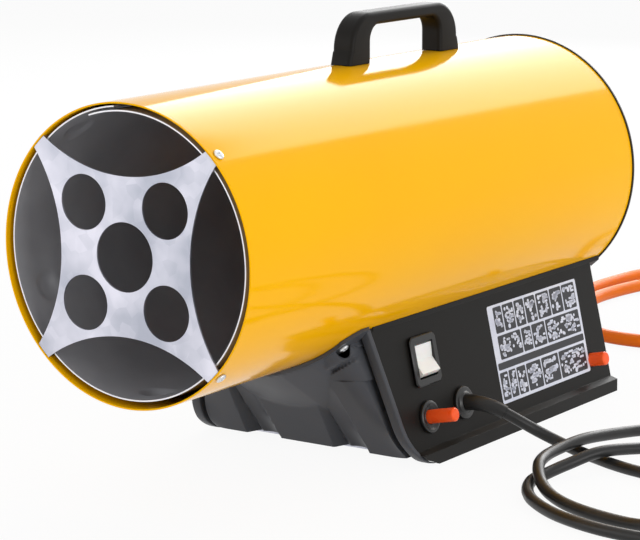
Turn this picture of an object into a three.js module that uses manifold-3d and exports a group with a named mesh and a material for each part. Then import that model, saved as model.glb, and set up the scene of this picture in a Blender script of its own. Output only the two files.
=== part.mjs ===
// Portable gas-fired forced air heater: a rolled steel casing on a moulded base, with a combustion
// chamber and burner in front, a motor and axial fan behind, controls on the right side of the base,
// a mains lead, and a gas hose with its regulator.
//
// Millimetres, +Z up. The outlet faces -Y and the controls face +X. The origin is the centre of the
// base's underside.
import * as THREE from "three";
import { mergeVertices } from "three/addons/utils/BufferGeometryUtils.js";
import Module from "manifold-3d";

const wasm = await Module();
wasm.setup();

const degrees = THREE.MathUtils.degToRad;

// ---------------------------------------------------------------- driving dimensions

const fit = 0.3; // air left between two touching pieces
const slip = 0.5; // radial air round a piece that slides or turns

const casingRadius = 105;
const casingLength = 530;
const casingWall = 1.2;
const casingBead = 0.8; // how far the rolled front edge stands proud
const axisHeight = 181; // casing axis above the floor
const frontOverhang = 226.5; // casing front edge ahead of the base's front foot

const chamberRadius = 99.3;
const chamberWall = 1;
const chamberLength = 280;
const chamberInset = 2.6; // chamber edge behind the casing edge
const chamberDents = 5; // spacer dents round the front
const dentFromEnd = 27;
const dentRadius = 12.5;

const baffleThickness = 1.4;
const baffleInset = 0.4;
const baffleWaist = 55; // centre to the middle of a concave side
const baffleTipWidth = 12;
const baffleCentreHole = 24;
const baffleHole = 19.2;
const baffleHoleOffset = 34.7; // across and up from the centre
const baffleTab = 13;

const screwShank = 1.9;
const screwHead = 3.8;
const screwHeadHeight = 2.2;

const burnerSetback = 300; // casing front edge to the burner bracket
const burnerRadius = 46;
const burnerFlare = 6;
const burnerLength = 58;
const burnerWall = 1.5;
const burnerSlots = 6;
const bracketWidth = 34;
const bracketThickness = 2;
const nozzleHex = 9.5;
const nozzleNeck = 6;
const gasPipe = 4;
const electrodeOffset = 22;
const ceramicRadius = 3.4;

const fanRadius = 95;
const fanBlades = 5;
const fanHubRadius = 20;
const fanHubLength = 24;
const fanSetback = 404; // casing front edge to the hub's front face
const bladeThickness = 1.6;
const bladeRoot = 0.32; // chord at the hub, as a share of the fan radius
const bladeSwell = 0.36; // how much wider the blade is at its middle
const bladeSweep = 0.085; // tip leads the root
const bladeCamber = 0.053;
const bladePitch = degrees(44); // at the root
const bladeTwist = degrees(20); // less at the tip
const shaftRadius = 3;
const motorRadius = 34;
const motorLength = 68;

const guardWire = 1.3;
const guardRings = 4;
const guardSpokes = 6;
const guardPlate = 30;
const rearRing = 3; // thickness of the rear trim past the casing
const rearRingLip = 1.5;
const rearRingProud = 1.2; // past the casing all round

const handleLength = 152;
const handleRise = 38;
const handleWidth = 18.5;
const handleLeg = 27;
const handleBar = 10;
const handleFlare = 3; // how far the feet spread at the casing
const handleSetback = 338; // casing front edge to the handle's middle

const baseLength = 289;
const flangeHalf = 103;
const flangeHeight = 10;
const footHalf = 96.8; // panel face at the top of the flange
const ledgeHeight = 12;
const panelTilt = degrees(12.5);
const baseWall = 3;
const rimTop = 49.3; // rim ahead of the front foot where it meets the casing
const rimLean = Math.tan(degrees(15)); // the rim leans back towards the floor
const rimRound = 34; // and curls under along this radius
const rimBand = 8;
const rimFlare = 3.2; // rim outside the panel
const plateThickness = 2;
const plateInset = 16; // front edge behind the front foot
const bossRadius = 6;

const shellThickness = 3;
const shellBottom = 6;
const shellFoot = 11; // lobes ahead of the front foot at their lower edge
const shellLean = 0.705; // how far the lobes come forward for each mm up
const shellLip = 72.5; // lip on the casing ahead of the front foot, at its corners
const lipBow = 0.42; // how fast the lip comes forward towards the middle
const lipSpan = 70; // half width of the lip between its rounded corners
const channelWidth = 5; // between the outer lobes and the rims
const channelDepth = 8;
const channelTop = 70;
const lobeDepth = 14;
const grooveOffset = 40;
const grooveHalf = 16;
const grooveTop = 64;

const switchSetback = 19.8; // base front to the switch
const switchBelow = 106.6; // casing axis to the switch
const bezelLength = 34.6;
const bezelHeight = 37.5;
const bezelThickness = 2.6;
const rockerLength = 24;
const rockerHeight = 25.4;
const rockerTilt = degrees(11);

const igniterSetback = 13; // base front to the igniter
const igniterHeight = 33.7;
const igniterRadius = 5.2;
const igniterProud = 24.5;
const igniterTravel = 8;
const collarRadius = 12.3;
const collarThickness = 3;

const glandSetback = 61.5; // base front to the cable gland
const glandHeight = 34.5;
const glandRadius = 12.5;

const gasButtonSetback = 26.5; // base rear to the gas button
const gasButtonHeight = 29.7;
const gasButtonRadius = 5.5;
const gasButtonProud = 14;
const gasButtonTravel = 5;

const inletAcross = 8;
const inletHeight = 42;

const mainsDiameter = 8.8;
const hoseDiameter = 12;

// Mains lead, from the strain relief to the plug: out over the flange, then two loose turns on the floor.
const mainsRoute = [
  [124, -74.5, 29.5], [133, -69, 23.5], [144, -61, 15.5], [159, -56, 8.4], [177, -59.5, 4.9],
  [199, -70, 4.6], [221, -80, 4.6], [245, -87, 4.6], [290, -94, 4.6], [335, -92, 4.6],
  [375, -75, 4.6], [400, -40, 4.6], [401, 0, 4.6], [378, 34, 4.6], [340, 48, 4.6],
  [298, 38, 4.6], [262, 8, 6.5], [229, -44, 11], [211, -84, 14.2], [198, -112, 9],
  [191.5, -132, 5.4], [190.5, -150, 4.6], [202, -176, 4.6], [222, -199, 4.6], [255, -220, 4.6],
  [300, -232, 4.6], [350, -228, 4.6], [402, -200, 4.6], [436, -150, 4.6], [446, -90, 4.6],
  [440, -25, 4.6], [418, 38, 4.6], [375, 80, 4.6], [318, 94, 4.6], [262, 84, 5],
  [222, 54, 6], [197, 10, 8.5], [187, -30, 12], [182.5, -62, 14.4], [180.5, -95, 14],
  [184.5, -122, 14.6], [193, -145, 14.2], [207, -165, 8.8], [227, -182, 5.3], [257, -198, 4.6],
  [300, -210.5, 5.5], [330, -219, 11], [353, -229, 15.5], [370, -240.5, 17.8], [381.5, -256, 18.8],
  [388, -275, 18.8],
];

// Gas hose, from the ferrule at the back of the base to the regulator: a turn and a half on the floor.
const hoseRoute = [
  [8, 190.3, 42], [8, 206, 42], [4, 230, 37], [-8, 258, 28], [-29, 290, 16],
  [-53, 328, 8.2], [-76, 372, 6.2], [-94, 420, 6.2], [-104, 475, 6.2], [-104, 530, 6.2],
  [-98, 578, 6.2], [-84, 622, 6.2], [-52, 660, 6.2], [-5, 676, 6.2], [45, 668, 6.2],
  [86, 640, 6.2], [110, 598, 6.2], [122, 548, 6.2], [127, 490, 6.2], [126, 430, 6.2],
  [119, 372, 6.2], [98, 328, 6.2], [62, 303, 6.2], [28, 298, 6.2], [0, 304, 6.2],
  [-27, 322, 6.2], [-50, 350, 6.2], [-67, 386, 6.2], [-77, 425, 6.2], [-81, 457, 6.2],
  [-78, 500, 6.2], [-69, 542, 6.2], [-52, 580, 6.2], [-22, 606, 6.2], [14, 610, 6.2],
  [47, 592, 6.2], [68, 560, 6.8], [74, 528, 10], [75, 498, 14], [75, 476, 14],
];

// ---------------------------------------------------------------- places that follow from them

const baseFront = -baseLength / 2;
const baseRear = baseLength / 2;
const switchAlong = baseFront + switchSetback;
const switchHeight = axisHeight - switchBelow;
const igniterAlong = baseFront + igniterSetback;
const glandAlong = baseFront + glandSetback;
const gasButtonAlong = baseRear - gasButtonSetback;
const casingFront = baseFront - frontOverhang;
const casingRear = casingFront + casingLength;
const casingBore = casingRadius - casingWall;
const round = 48; // facets round the casing and what fits it
const panelRun = Math.tan(panelTilt);
const bracketY = casingFront + burnerSetback;
const fanY = casingFront + fanSetback;
const guardY = casingRear - 2;
const motorRear = guardY - 3;
const motorFront = motorRear - motorLength;
const handleY = casingFront + handleSetback;
const tabScrewY = casingFront + 7;
const saddle = casingRadius + fit; // what rests on the casing
const saddleFlange = 2.5;
const rimHeight = axisHeight - casingRadius * 0.7; // where the rim meets the casing

// Half width of the base's outer face at a height above the floor.
function panelHalf(height) {
  if (height < flangeHeight) return flangeHalf;
  return footHalf - (Math.max(height, ledgeHeight) - ledgeHeight) * panelRun;
}

// How far forward the rim of the base reaches at a height, curling under at the floor.
function rimY(height) {
  const below = Math.max(0, rimRound - height);
  const curl = rimRound - Math.sqrt(rimRound ** 2 - below ** 2);
  return baseFront - rimTop + rimLean * (rimHeight - height) + curl;
}

// ---------------------------------------------------------------- solids

// A closed three.js geometry as a solid: vertices shared, slivers dropped, faces turned outwards.
function solid(geometry) {
  const bare = geometry.clone();
  bare.deleteAttribute("normal");
  bare.deleteAttribute("uv");
  const merged = mergeVertices(bare, 1e-4);
  const points = merged.attributes.position.array;
  const index = merged.index.array;
  const corners = [];
  const [a, b, c] = [new THREE.Vector3(), new THREE.Vector3(), new THREE.Vector3()];
  let volume = 0;
  for (let i = 0; i < index.length; i += 3) {
    const [p, q, r] = [index[i], index[i + 1], index[i + 2]];
    if (p === q || q === r || r === p) continue;
    corners.push(p, q, r);
    volume += a.fromArray(points, 3 * p).dot(b.fromArray(points, 3 * q).cross(c.fromArray(points, 3 * r)));
  }
  if (volume < 0) corners.reverse();
  const mesh = new wasm.Mesh({
    numProp: 3,
    vertProperties: Float32Array.from(points),
    triVerts: Uint32Array.from(corners),
  });
  return new wasm.Manifold(mesh);
}

const joined = (shapes) => shapes.reduce((whole, shape) => whole.add(shape));

// Revolved about Y from [radius, y] points that start and end on the axis or on each other.
function lathe(profile, facets = 24) {
  return new THREE.LatheGeometry(profile.map(([r, y]) => new THREE.Vector2(r, y)), facets);
}

const turned = (profile, facets) => solid(lathe(profile, facets));

const rod = (radius, from, to, facets = 16) => lathe([[0, from], [radius, from], [radius, to], [0, to]], facets);

function tube(outer, inner, from, to, facets) {
  return lathe([[inner, from], [outer, from], [outer, to], [inner, to], [inner, from]], facets);
}

// An outline of [u, v] points or a Shape, drawn out along one axis.
function outline(points) {
  return points instanceof THREE.Shape ? points : new THREE.Shape(points.map(([u, v]) => new THREE.Vector2(u, v)));
}

const axisX = new THREE.Vector3(1, 0, 0);
const axisY = new THREE.Vector3(0, 1, 0);
const axisZ = new THREE.Vector3(0, 0, 1);

function drawn(points, depth, options = {}) {
  return new THREE.ExtrudeGeometry(outline(points), { depth, bevelEnabled: false, curveSegments: 8, ...options });
}

function alongX(points, from, to, options) {
  const turn = new THREE.Matrix4().makeBasis(axisY, axisZ, axisX);
  return drawn(points, to - from, options).applyMatrix4(turn).translate(from, 0, 0);
}

function alongY(points, from, to, options) {
  const turn = new THREE.Matrix4().makeBasis(axisX, axisZ, axisY.clone().negate());
  return drawn(points, to - from, options).applyMatrix4(turn).translate(0, to, 0);
}

const alongZ = (points, from, to, options) => drawn(points, to - from, options).translate(0, 0, from);

function box(x0, x1, y0, y1, z0, z1) {
  const geometry = new THREE.BoxGeometry(x1 - x0, y1 - y0, z1 - z0);
  return geometry.translate((x0 + x1) / 2, (y0 + y1) / 2, (z0 + z1) / 2);
}

// A hexagonal nut about Y with a round bore.
function hexNut(profile, bore) {
  const ends = profile.map(([, y]) => y);
  return turned(profile, 6).subtract(solid(rod(bore, Math.min(...ends) - 1, Math.max(...ends) + 1)));
}

// Turns a shape made along Y so that its Y runs outwards from the casing axis at an angle from +X.
function radial(geometry, angle, y) {
  return geometry.rotateZ(-Math.PI / 2).rotateY(-angle).translate(0, y, 0);
}

// Turns a shape made along Y so that its Y runs along X.
const pointingX = (geometry) => geometry.rotateZ(-Math.PI / 2);

// A pan-head screw made along Y: the head's underside at the seat, the shank running inwards.
function screw(seat, tip) {
  const crown = seat + screwHeadHeight;
  return lathe([
    [0, tip], [screwShank, tip], [screwShank, seat], [screwHead, seat],
    [screwHead, seat + screwHeadHeight * 0.4], [screwHead * 0.6, crown], [0, crown],
  ], 7);
}

// ---------------------------------------------------------------- the scene

const heater = new THREE.Group();
const barrel = new THREE.Group(); // about the casing axis
barrel.position.set(0, 0, axisHeight);
const panel = new THREE.Group(); // X out of the control panel, Z up along it
panel.position.set(footHalf, 0, ledgeHeight);
panel.rotation.y = -panelTilt;
heater.add(barrel, panel);

function part(parent, name, shape, [color, roughness, metalness]) {
  const mesh = shape.getMesh();
  const geometry = new THREE.BufferGeometry();
  geometry.setAttribute("position", new THREE.BufferAttribute(mesh.vertProperties, 3));
  geometry.setIndex(new THREE.BufferAttribute(mesh.triVerts, 1));
  const made = new THREE.Mesh(geometry, new THREE.MeshStandardMaterial({ color, roughness, metalness }));
  made.name = name;
  parent.add(made);
  return made;
}

// The same piece in several places, each one its own mesh.
function parts(parent, name, shapes, finish) {
  return shapes.map((shape, i) => part(parent, `${name}_${i + 1}`, shape, finish));
}

// Colour, roughness and metalness of each finish.
const yellowEnamel = [0xffbf00, 0.25, 0];
const heatedSteel = [0x4a4c4f, 0.45, 0.9];
const galvanised = [0xb4b7bb, 0.4, 1];
const zincScrew = [0xc8c9c8, 0.3, 1];
const castAluminium = [0xa6a9ac, 0.45, 1];
const brass = [0xb5913f, 0.35, 1];
const copper = [0xb06a45, 0.35, 1];
const ceramic = [0xece7dc, 0.35, 0];
const blackPlastic = [0x32302d, 0.5, 0];
const greyPlastic = [0x454547, 0.45, 0];
const blackRubber = [0x232322, 0.65, 0];
const whitePlastic = [0xf2f2ef, 0.35, 0];
const redPlastic = [0xf24a24, 0.35, 0];
const orangeRubber = [0xf47c1c, 0.5, 0];

// ---- casing

const bead = casingRadius + casingBead;
const casingTube = turned([
  [casingBore, casingFront + 0.4], [casingRadius, casingFront], [bead, casingFront + 1.6],
  [casingRadius, casingFront + 3.6], [casingRadius, casingRear],
  [casingBore, casingRear], [casingBore, casingFront + 0.4],
], round);
const tipAngles = [45, 135, 225, 315].map(degrees);
const handleScrewY = [-1, 1].map((side) => handleY + side * (handleLength - handleLeg) / 2);
const shellScrewAngles = [-51, -129].map(degrees);
const shellScrewY = baseFront - shellLip + 9;
const rearScrewAngles = [-49.5, -130.5].map(degrees);
const rearScrewY = casingRear - 10.5;

const drill = (angle, y) => solid(radial(rod(screwShank + fit, casingBore - 6, casingRadius + 6, 10), angle, y));
const pipeY = bracketY + 41;
const passage = solid(box(-14, 14, pipeY - 16, pipeY + 22, -casingRadius - 5, -casingBore + 12));
part(barrel, "outer_casing", casingTube.subtract(joined([
  ...tipAngles.map((angle) => drill(angle, tabScrewY)),
  ...handleScrewY.map((y) => drill(Math.PI / 2, y)),
  ...shellScrewAngles.map((angle) => drill(angle, shellScrewY)),
  ...rearScrewAngles.map((angle) => drill(angle, rearScrewY)),
  passage,
])), yellowEnamel);

// ---- combustion chamber, its spacer dents reaching to the casing

const chamberFront = casingFront + chamberInset;
const chamberRear = chamberFront + chamberLength;
const chamberBore = chamberRadius - chamberWall;
const neck = 6;
const chamberTube = turned([
  [chamberBore, chamberFront], [chamberRadius, chamberFront], [chamberRadius, chamberRear - 2 * neck],
  [chamberRadius - neck, chamberRear], [chamberBore - neck, chamberRear],
  [chamberBore, chamberRear - 2 * neck], [chamberBore, chamberFront],
], round);
const dentTop = casingBore - fit - 0.15;
const dentOuter = () => lathe([
  [0, chamberBore - 2], [dentRadius, chamberBore - 2], [dentRadius, chamberRadius - 0.5],
  [dentRadius / 3, dentTop], [0, dentTop],
], 8);
const dentInner = () => lathe([
  [0, chamberBore - 4], [dentRadius - 1, chamberBore - 4],
  [dentRadius - 1, chamberRadius - 0.5 - chamberWall], [dentRadius / 3 - 0.5, dentTop - chamberWall],
  [0, dentTop - chamberWall],
], 8);
const dentPlaces = Array.from({ length: chamberDents }, (_, i) =>
  [degrees(-88) + (2 * Math.PI * i) / chamberDents, chamberFront + dentFromEnd]);
part(barrel, "combustion_chamber", chamberTube
  .add(joined(dentPlaces.map(([angle, y]) => solid(radial(dentOuter(), angle, y)))))
  .subtract(joined(dentPlaces.map(([angle, y]) => solid(radial(dentInner(), angle, y))))), heatedSteel);

// ---- baffle plate: four points with concave sides, tabs bent back along the casing wall

const tipReach = casingBore;
const tipU = (tipReach * Math.SQRT1_2) + baffleTipWidth / 2 * Math.SQRT1_2;
const tipV = (tipReach * Math.SQRT1_2) - baffleTipWidth / 2 * Math.SQRT1_2;
const sideCentre = (tipU ** 2 + tipV ** 2 - baffleWaist ** 2) / (2 * (tipU - baffleWaist));
const sideRadius = sideCentre - baffleWaist;
const baffleShape = new THREE.Shape();
for (let side = 0; side < 4; side++) {
  const facing = (side * Math.PI) / 2;
  const half = Math.asin(tipV / sideRadius);
  const [u, v] = [sideCentre * Math.cos(facing), sideCentre * Math.sin(facing)];
  baffleShape.absarc(u, v, sideRadius, facing + Math.PI + half, facing + Math.PI - half, true);
}
const addHole = (u, v, radius) => baffleShape.holes.push(new THREE.Path().absarc(u, v, radius, 0, 2 * Math.PI, true));
addHole(0, 0, baffleCentreHole);
for (const [u, v] of [[1, 1], [-1, 1], [-1, -1], [1, -1]]) addHole(u * baffleHoleOffset, v * baffleHoleOffset, baffleHole);
const baffleFront = casingFront + baffleInset;
const bafflePlate = solid(alongY(baffleShape, baffleFront, baffleFront + baffleThickness, { curveSegments: 7 }));
const tabInner = casingBore - fit - baffleThickness;
const tab = (angle) => solid(radial(
  box(-baffleTab, 0, tabInner, casingBore + 1, -baffleTipWidth / 2, baffleTipWidth / 2), angle, baffleFront,
));
const casingPlug = solid(rod(casingBore - fit, casingFront - 1, casingRear, round));
part(barrel, "baffle_plate", joined([bafflePlate, ...tipAngles.map(tab)]).intersect(casingPlug)
  .subtract(joined(tipAngles.map((angle) => drill(angle, tabScrewY)))), galvanised);
parts(barrel, "baffle_screw", tipAngles.map((angle) =>
  solid(radial(screw(casingRadius + fit, tabInner - 1), angle, tabScrewY))), zincScrew);

// ---- burner: bracket across the casing, slotted head, nozzle, spark electrode, thermocouple

const footLength = 16;
const bracketBar = box(-casingRadius, casingRadius, bracketY, bracketY + bracketThickness,
  -bracketWidth / 2, bracketWidth / 2);
const bracketFoot = (side) => box(side * (casingBore - 3), side * casingRadius, bracketY, bracketY + footLength,
  -bracketWidth / 2, bracketWidth / 2);
const throughBracket = (radius, x) => solid(rod(radius, bracketY - 8, bracketY + 8, 16).translate(x, 0, 0));
const burnerHoles = joined([throughBracket(nozzleNeck + fit, 0), throughBracket(ceramicRadius + fit, electrodeOffset),
  throughBracket(ceramicRadius + fit, -electrodeOffset)]);
part(barrel, "burner_bracket", joined([
  solid(bracketBar),
  solid(box(casingBore - fit - bracketThickness, casingRadius, bracketY, bracketY + footLength,
    -bracketWidth / 2, bracketWidth / 2)),
  solid(box(-casingRadius, -casingBore + fit + bracketThickness, bracketY, bracketY + footLength,
    -bracketWidth / 2, bracketWidth / 2)),
]).intersect(casingPlug).subtract(burnerHoles), galvanised);

const headRear = bracketY - fit;
const headFront = headRear - burnerLength;
const burnerCup = turned([
  [0, headRear], [burnerRadius, headRear], [burnerRadius, headRear - burnerLength * 0.6],
  [burnerRadius + burnerFlare, headFront], [burnerRadius + burnerFlare - burnerWall, headFront],
  [burnerRadius - burnerWall, headRear - burnerLength * 0.6], [burnerRadius - burnerWall, headRear - burnerWall],
  [0, headRear - burnerWall],
], 22);
const airSlot = (i) => solid(box(burnerRadius * 0.66, burnerRadius * 0.88, headRear - 4, headRear + 4, -5, 5)
  .rotateY((2 * Math.PI * (i + 0.5)) / burnerSlots));
part(barrel, "burner_head", burnerCup.subtract(joined([
  burnerHoles, ...Array.from({ length: burnerSlots }, (_, i) => airSlot(i)),
])), heatedSteel);

const nozzleSeat = bracketY + bracketThickness + fit;
const nozzleRear = nozzleSeat + 12;
part(barrel, "gas_nozzle", joined([
  turned([[0, headRear - 22], [2.2, headRear - 22], [nozzleNeck, headRear - 10], [nozzleNeck, nozzleSeat + 1],
    [0, nozzleSeat + 1]], 16),
  turned([[0, nozzleSeat], [nozzleHex, nozzleSeat], [nozzleHex, nozzleRear], [0, nozzleRear]], 6),
]).subtract(joined([
  solid(rod(0.8, headRear - 23, nozzleSeat + 6, 8)),
  solid(rod(gasPipe + fit, nozzleSeat + 5, nozzleRear + 1, 16)),
])), brass);

const onBracket = (x) => [
  [0, bracketY - 12], [ceramicRadius, bracketY - 12], [ceramicRadius, bracketY + bracketThickness + fit],
  [ceramicRadius + 2.4, bracketY + bracketThickness + fit], [ceramicRadius + 2.4, bracketY + bracketThickness + 4],
  [ceramicRadius, bracketY + bracketThickness + 6], [ceramicRadius, bracketY + 18], [0, bracketY + 18],
];
const probe = (radius, reach) => joined([
  turned(onBracket(), 12),
  solid(rod(radius, bracketY - reach, bracketY - 11, 8)),
]);
part(barrel, "spark_electrode", probe(1.1, 34), ceramic).position.x = electrodeOffset;
part(barrel, "thermocouple", probe(1.6, 40), brass).position.x = -electrodeOffset;

const thermostatY = bracketY + bracketThickness + fit;
part(barrel, "overheat_thermostat", joined([
  turned([[0, thermostatY], [8, thermostatY], [8, thermostatY + 7], [0, thermostatY + 7]], 20),
  ...[-1, 1].map((side) => solid(box(side * 4 - 0.4, side * 4 + 0.4, thermostatY + 6.5, thermostatY + 14, -3, 3))),
]), blackPlastic).position.x = -bracketWidth * 2;

// ---- fan, motor and rear guard

function blade(angle) {
  const stations = 3;
  const across = 3;
  const points = [];
  const triangles = [];
  for (let i = 0; i <= stations; i++) {
    const share = i / stations;
    const radius = fanHubRadius * 0.85 + (fanRadius - fanHubRadius * 0.85) * share;
    const chord = fanRadius * (bladeRoot + bladeSwell * Math.sin(Math.PI * (0.25 + 0.45 * share)));
    const pitch = bladePitch - bladeTwist * share;
    for (let j = 0; j <= across; j++) {
      const along = j / across - 0.5;
      const lead = chord * along * Math.cos(pitch) + fanRadius * bladeSweep * share;
      const turn = angle + lead / radius;
      const camber = fanRadius * bladeCamber * (1 - 4 * along * along);
      const axial = fanY + fanHubLength / 2 + chord * along * Math.sin(pitch) + camber;
      for (const face of [-0.5, 0.5]) {
        points.push(radius * Math.cos(turn), axial + face * bladeThickness, radius * Math.sin(turn));
      }
    }
  }
  const at = (i, j, face) => (i * (across + 1) + j) * 2 + face;
  const quad = (a, b, c, d) => triangles.push(a, b, c, a, c, d);
  for (let i = 0; i < stations; i++) {
    for (let j = 0; j < across; j++) {
      quad(at(i, j, 0), at(i, j + 1, 0), at(i + 1, j + 1, 0), at(i + 1, j, 0));
      quad(at(i, j, 1), at(i + 1, j, 1), at(i + 1, j + 1, 1), at(i, j + 1, 1));
    }
    quad(at(i, 0, 0), at(i + 1, 0, 0), at(i + 1, 0, 1), at(i, 0, 1));
    quad(at(i, across, 0), at(i, across, 1), at(i + 1, across, 1), at(i + 1, across, 0));
  }
  for (let j = 0; j < across; j++) {
    quad(at(0, j, 0), at(0, j, 1), at(0, j + 1, 1), at(0, j + 1, 0));
    quad(at(stations, j, 0), at(stations, j + 1, 0), at(stations, j + 1, 1), at(stations, j, 1));
  }
  const geometry = new THREE.BufferGeometry();
  geometry.setAttribute("position", new THREE.Float32BufferAttribute(points, 3));
  geometry.setIndex(triangles);
  return solid(geometry);
}

const hub = turned([
  [0, fanY], [fanHubRadius * 0.8, fanY], [fanHubRadius, fanY + fanHubLength / 6], [fanHubRadius, fanY + fanHubLength],
  [0, fanY + fanHubLength],
], 20);
const blades = Array.from({ length: fanBlades }, (_, i) => blade((2 * Math.PI * i) / fanBlades));
part(barrel, "axial_fan", joined([hub, ...blades])
  .subtract(solid(rod(shaftRadius + fit, fanY - 1, fanY + fanHubLength + 1))), castAluminium);
part(barrel, "motor_shaft", solid(rod(shaftRadius, fanY - 10, motorFront + 10)), zincScrew);
part(barrel, "fan_nut", hexNut([[0, fanY - 6], [6.5, fanY - 6], [6.5, fanY - fit], [0, fanY - fit]],
  shaftRadius + fit), zincScrew);

const motorBoss = 8;
const [bearingCap, frontBand, rearBand] = [motorLength * 0.13, motorLength * 0.28, motorLength * 0.26];
const motorScrewRadius = 22;
const motorScrewAngles = [0, 180].map(degrees);
part(barrel, "fan_motor", turned([
  [0, motorFront], [motorBoss, motorFront], [motorBoss, motorFront + bearingCap - 2], [motorRadius * 0.72, motorFront + bearingCap],
  [motorRadius - 1.5, motorFront + frontBand - 4], [motorRadius - 1.5, motorFront + frontBand],
  [motorRadius, motorFront + frontBand], [motorRadius, motorRear - rearBand],
  [motorRadius - 1.5, motorRear - rearBand], [motorRadius - 1.5, motorRear - rearBand / 3],
  [motorRadius * 0.8, motorRear], [0, motorRear],
], 18).subtract(joined([
  solid(rod(shaftRadius + slip, motorFront - 1, motorFront + 12)),
  ...motorScrewAngles.map((angle) => solid(rod(screwShank + fit, motorRear - 10, motorRear + 1, 10)
    .translate(motorScrewRadius * Math.cos(angle), 0, motorScrewRadius * Math.sin(angle)))),
])), blackPlastic);

const lipInner = casingBore - fit - rearRingLip;
const guardOuter = lipInner - fit - guardWire;
const guardStep = (guardOuter - guardPlate) / guardRings;
const hoop = (radius) => solid(new THREE.TorusGeometry(radius, guardWire, 4, 20).rotateX(Math.PI / 2)
  .translate(0, guardY, 0));
const spoke = (i) => solid(rod(guardWire, guardPlate - 4, guardOuter, 4)
  .rotateZ(-Math.PI / 2).rotateY((2 * Math.PI * (i + 0.5)) / guardSpokes).translate(0, motorRear + fit + guardWire, 0));
const plateDisc = turned([[0, motorRear + fit], [guardPlate, motorRear + fit], [guardPlate, motorRear + fit + 2],
  [0, motorRear + fit + 2]], 24);
part(barrel, "rear_guard", joined([
  plateDisc,
  ...Array.from({ length: guardRings }, (_, i) => hoop(guardOuter - i * guardStep)),
  ...Array.from({ length: guardSpokes }, (_, i) => spoke(i)),
]).subtract(joined(motorScrewAngles.map((angle) => solid(rod(screwShank + fit, motorRear - 1, motorRear + 5, 10)
  .translate(motorScrewRadius * Math.cos(angle), 0, motorScrewRadius * Math.sin(angle)))))), galvanised);
parts(barrel, "motor_screw", motorScrewAngles.map((angle) => solid(
  screw(motorRear + 2 + 2 * fit, motorRear - 8)
    .translate(motorScrewRadius * Math.cos(angle), 0, motorScrewRadius * Math.sin(angle)),
)), zincScrew);
const ringEdge = casingRadius + rearRingProud;
part(barrel, "rear_ring", turned([
  [lipInner, casingRear - 5], [casingBore - fit, casingRear - 5], [casingBore - fit, casingRear + fit],
  [ringEdge, casingRear + fit], [ringEdge, casingRear + rearRing - 0.8],
  [ringEdge - 0.8, casingRear + rearRing], [lipInner, casingRear + rearRing], [lipInner, casingRear - 5],
], round), blackRubber);

// ---- carrying handle

const handleTop = casingRadius + handleRise;
const [outerRound, innerRound, lean, soft] = [27, 12, 1, 3];
const handleHalf = handleLength / 2;
const sunk = casingRadius - 12;
const flareTop = casingRadius + 10;
const handleShape = new THREE.Shape();
handleShape.moveTo(-handleHalf - handleFlare, sunk);
handleShape.lineTo(-handleHalf + handleLeg, sunk);
handleShape.lineTo(-handleHalf + handleLeg, handleTop - handleBar - innerRound);
handleShape.absarc(-handleHalf + handleLeg + innerRound, handleTop - handleBar - innerRound, innerRound,
  Math.PI, Math.PI / 2, true);
handleShape.absarc(handleHalf - handleLeg - innerRound, handleTop - handleBar - innerRound, innerRound,
  Math.PI / 2, 0, true);
handleShape.lineTo(handleHalf - handleLeg, sunk);
handleShape.lineTo(handleHalf + handleFlare, sunk);
handleShape.lineTo(handleHalf + handleFlare, casingRadius);
handleShape.lineTo(handleHalf, flareTop);
handleShape.lineTo(handleHalf - lean, handleTop - outerRound);
handleShape.absarc(handleHalf - lean - outerRound, handleTop - outerRound, outerRound, 0, Math.PI / 2, false);
handleShape.absarc(-handleHalf + lean + outerRound, handleTop - outerRound, outerRound, Math.PI / 2, Math.PI, false);
handleShape.lineTo(-handleHalf, flareTop);
handleShape.lineTo(-handleHalf - handleFlare, casingRadius);
const handleGrip = alongX(handleShape, -handleWidth / 2 + soft, handleWidth / 2 - soft, {
  bevelEnabled: true, bevelThickness: soft, bevelSize: soft, bevelOffset: -soft, bevelSegments: 2, curveSegments: 5,
}).translate(0, handleY, 0);
const casingBulk = solid(rod(saddle, casingFront - 5, casingRear + 20, round));
const handleBore = (y) => solid(radial(rod(screwShank + fit, casingRadius - 5, casingRadius + 20, 10), Math.PI / 2, y));
part(barrel, "carrying_handle", solid(handleGrip).subtract(joined([casingBulk, ...handleScrewY.map(handleBore)])),
  blackPlastic);
const fromInside = (y) => solid(radial(lathe([
  [0, casingBore - fit - screwHeadHeight], [screwHead, casingBore - fit - screwHeadHeight],
  [screwHead, casingBore - fit], [screwShank, casingBore - fit], [screwShank, casingRadius + 16],
  [0, casingRadius + 16],
], 9), Math.PI / 2, y));
parts(barrel, "handle_screw", handleScrewY.map(fromInside), zincScrew);

// ---- base: moulded housing with tilted sides, a saddle under the casing and a bottom flange

const buried = axisHeight - casingRadius / 2; // height well inside the casing
function baseProfile(inset) {
  const right = [
    [flangeHalf - inset, 0], [flangeHalf - inset, flangeHeight - inset / 2],
    [footHalf - inset, ledgeHeight - inset / 2], [panelHalf(buried) - inset, buried],
  ];
  return [...right, ...right.map(([x, z]) => [-x, z]).reverse()];
}
const shellRows = [0, 0.04, 0.09, 0.16, 0.25, 0.34, 0.43, 0.515, 0.535, 0.63, 0.72, 0.8, 0.88, 1];
const rimFoot = 0.4;
function sideOutline(offset) {
  const edge = shellRows.map((row) => rimFoot + (buried - rimFoot) * row)
    .map((height) => [rimY(height) + offset, height]);
  return [[edge[0][0], 0], ...edge, [baseRear - 2.5, buried], [baseRear, 0]];
}
const casingClear = solid(rod(saddle, casingFront, casingRear + 20, round).translate(0, 0, axisHeight));
const saddleBand = (from, to, x0, x1, z0, z1) => solid(tube(saddle + saddleFlange, saddle, from, to, round)
  .translate(0, 0, axisHeight)).intersect(solid(box(x0, x1, from - 1, to + 1, z0, z1)));
const frontReach = baseFront - rimTop - 20;
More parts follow.
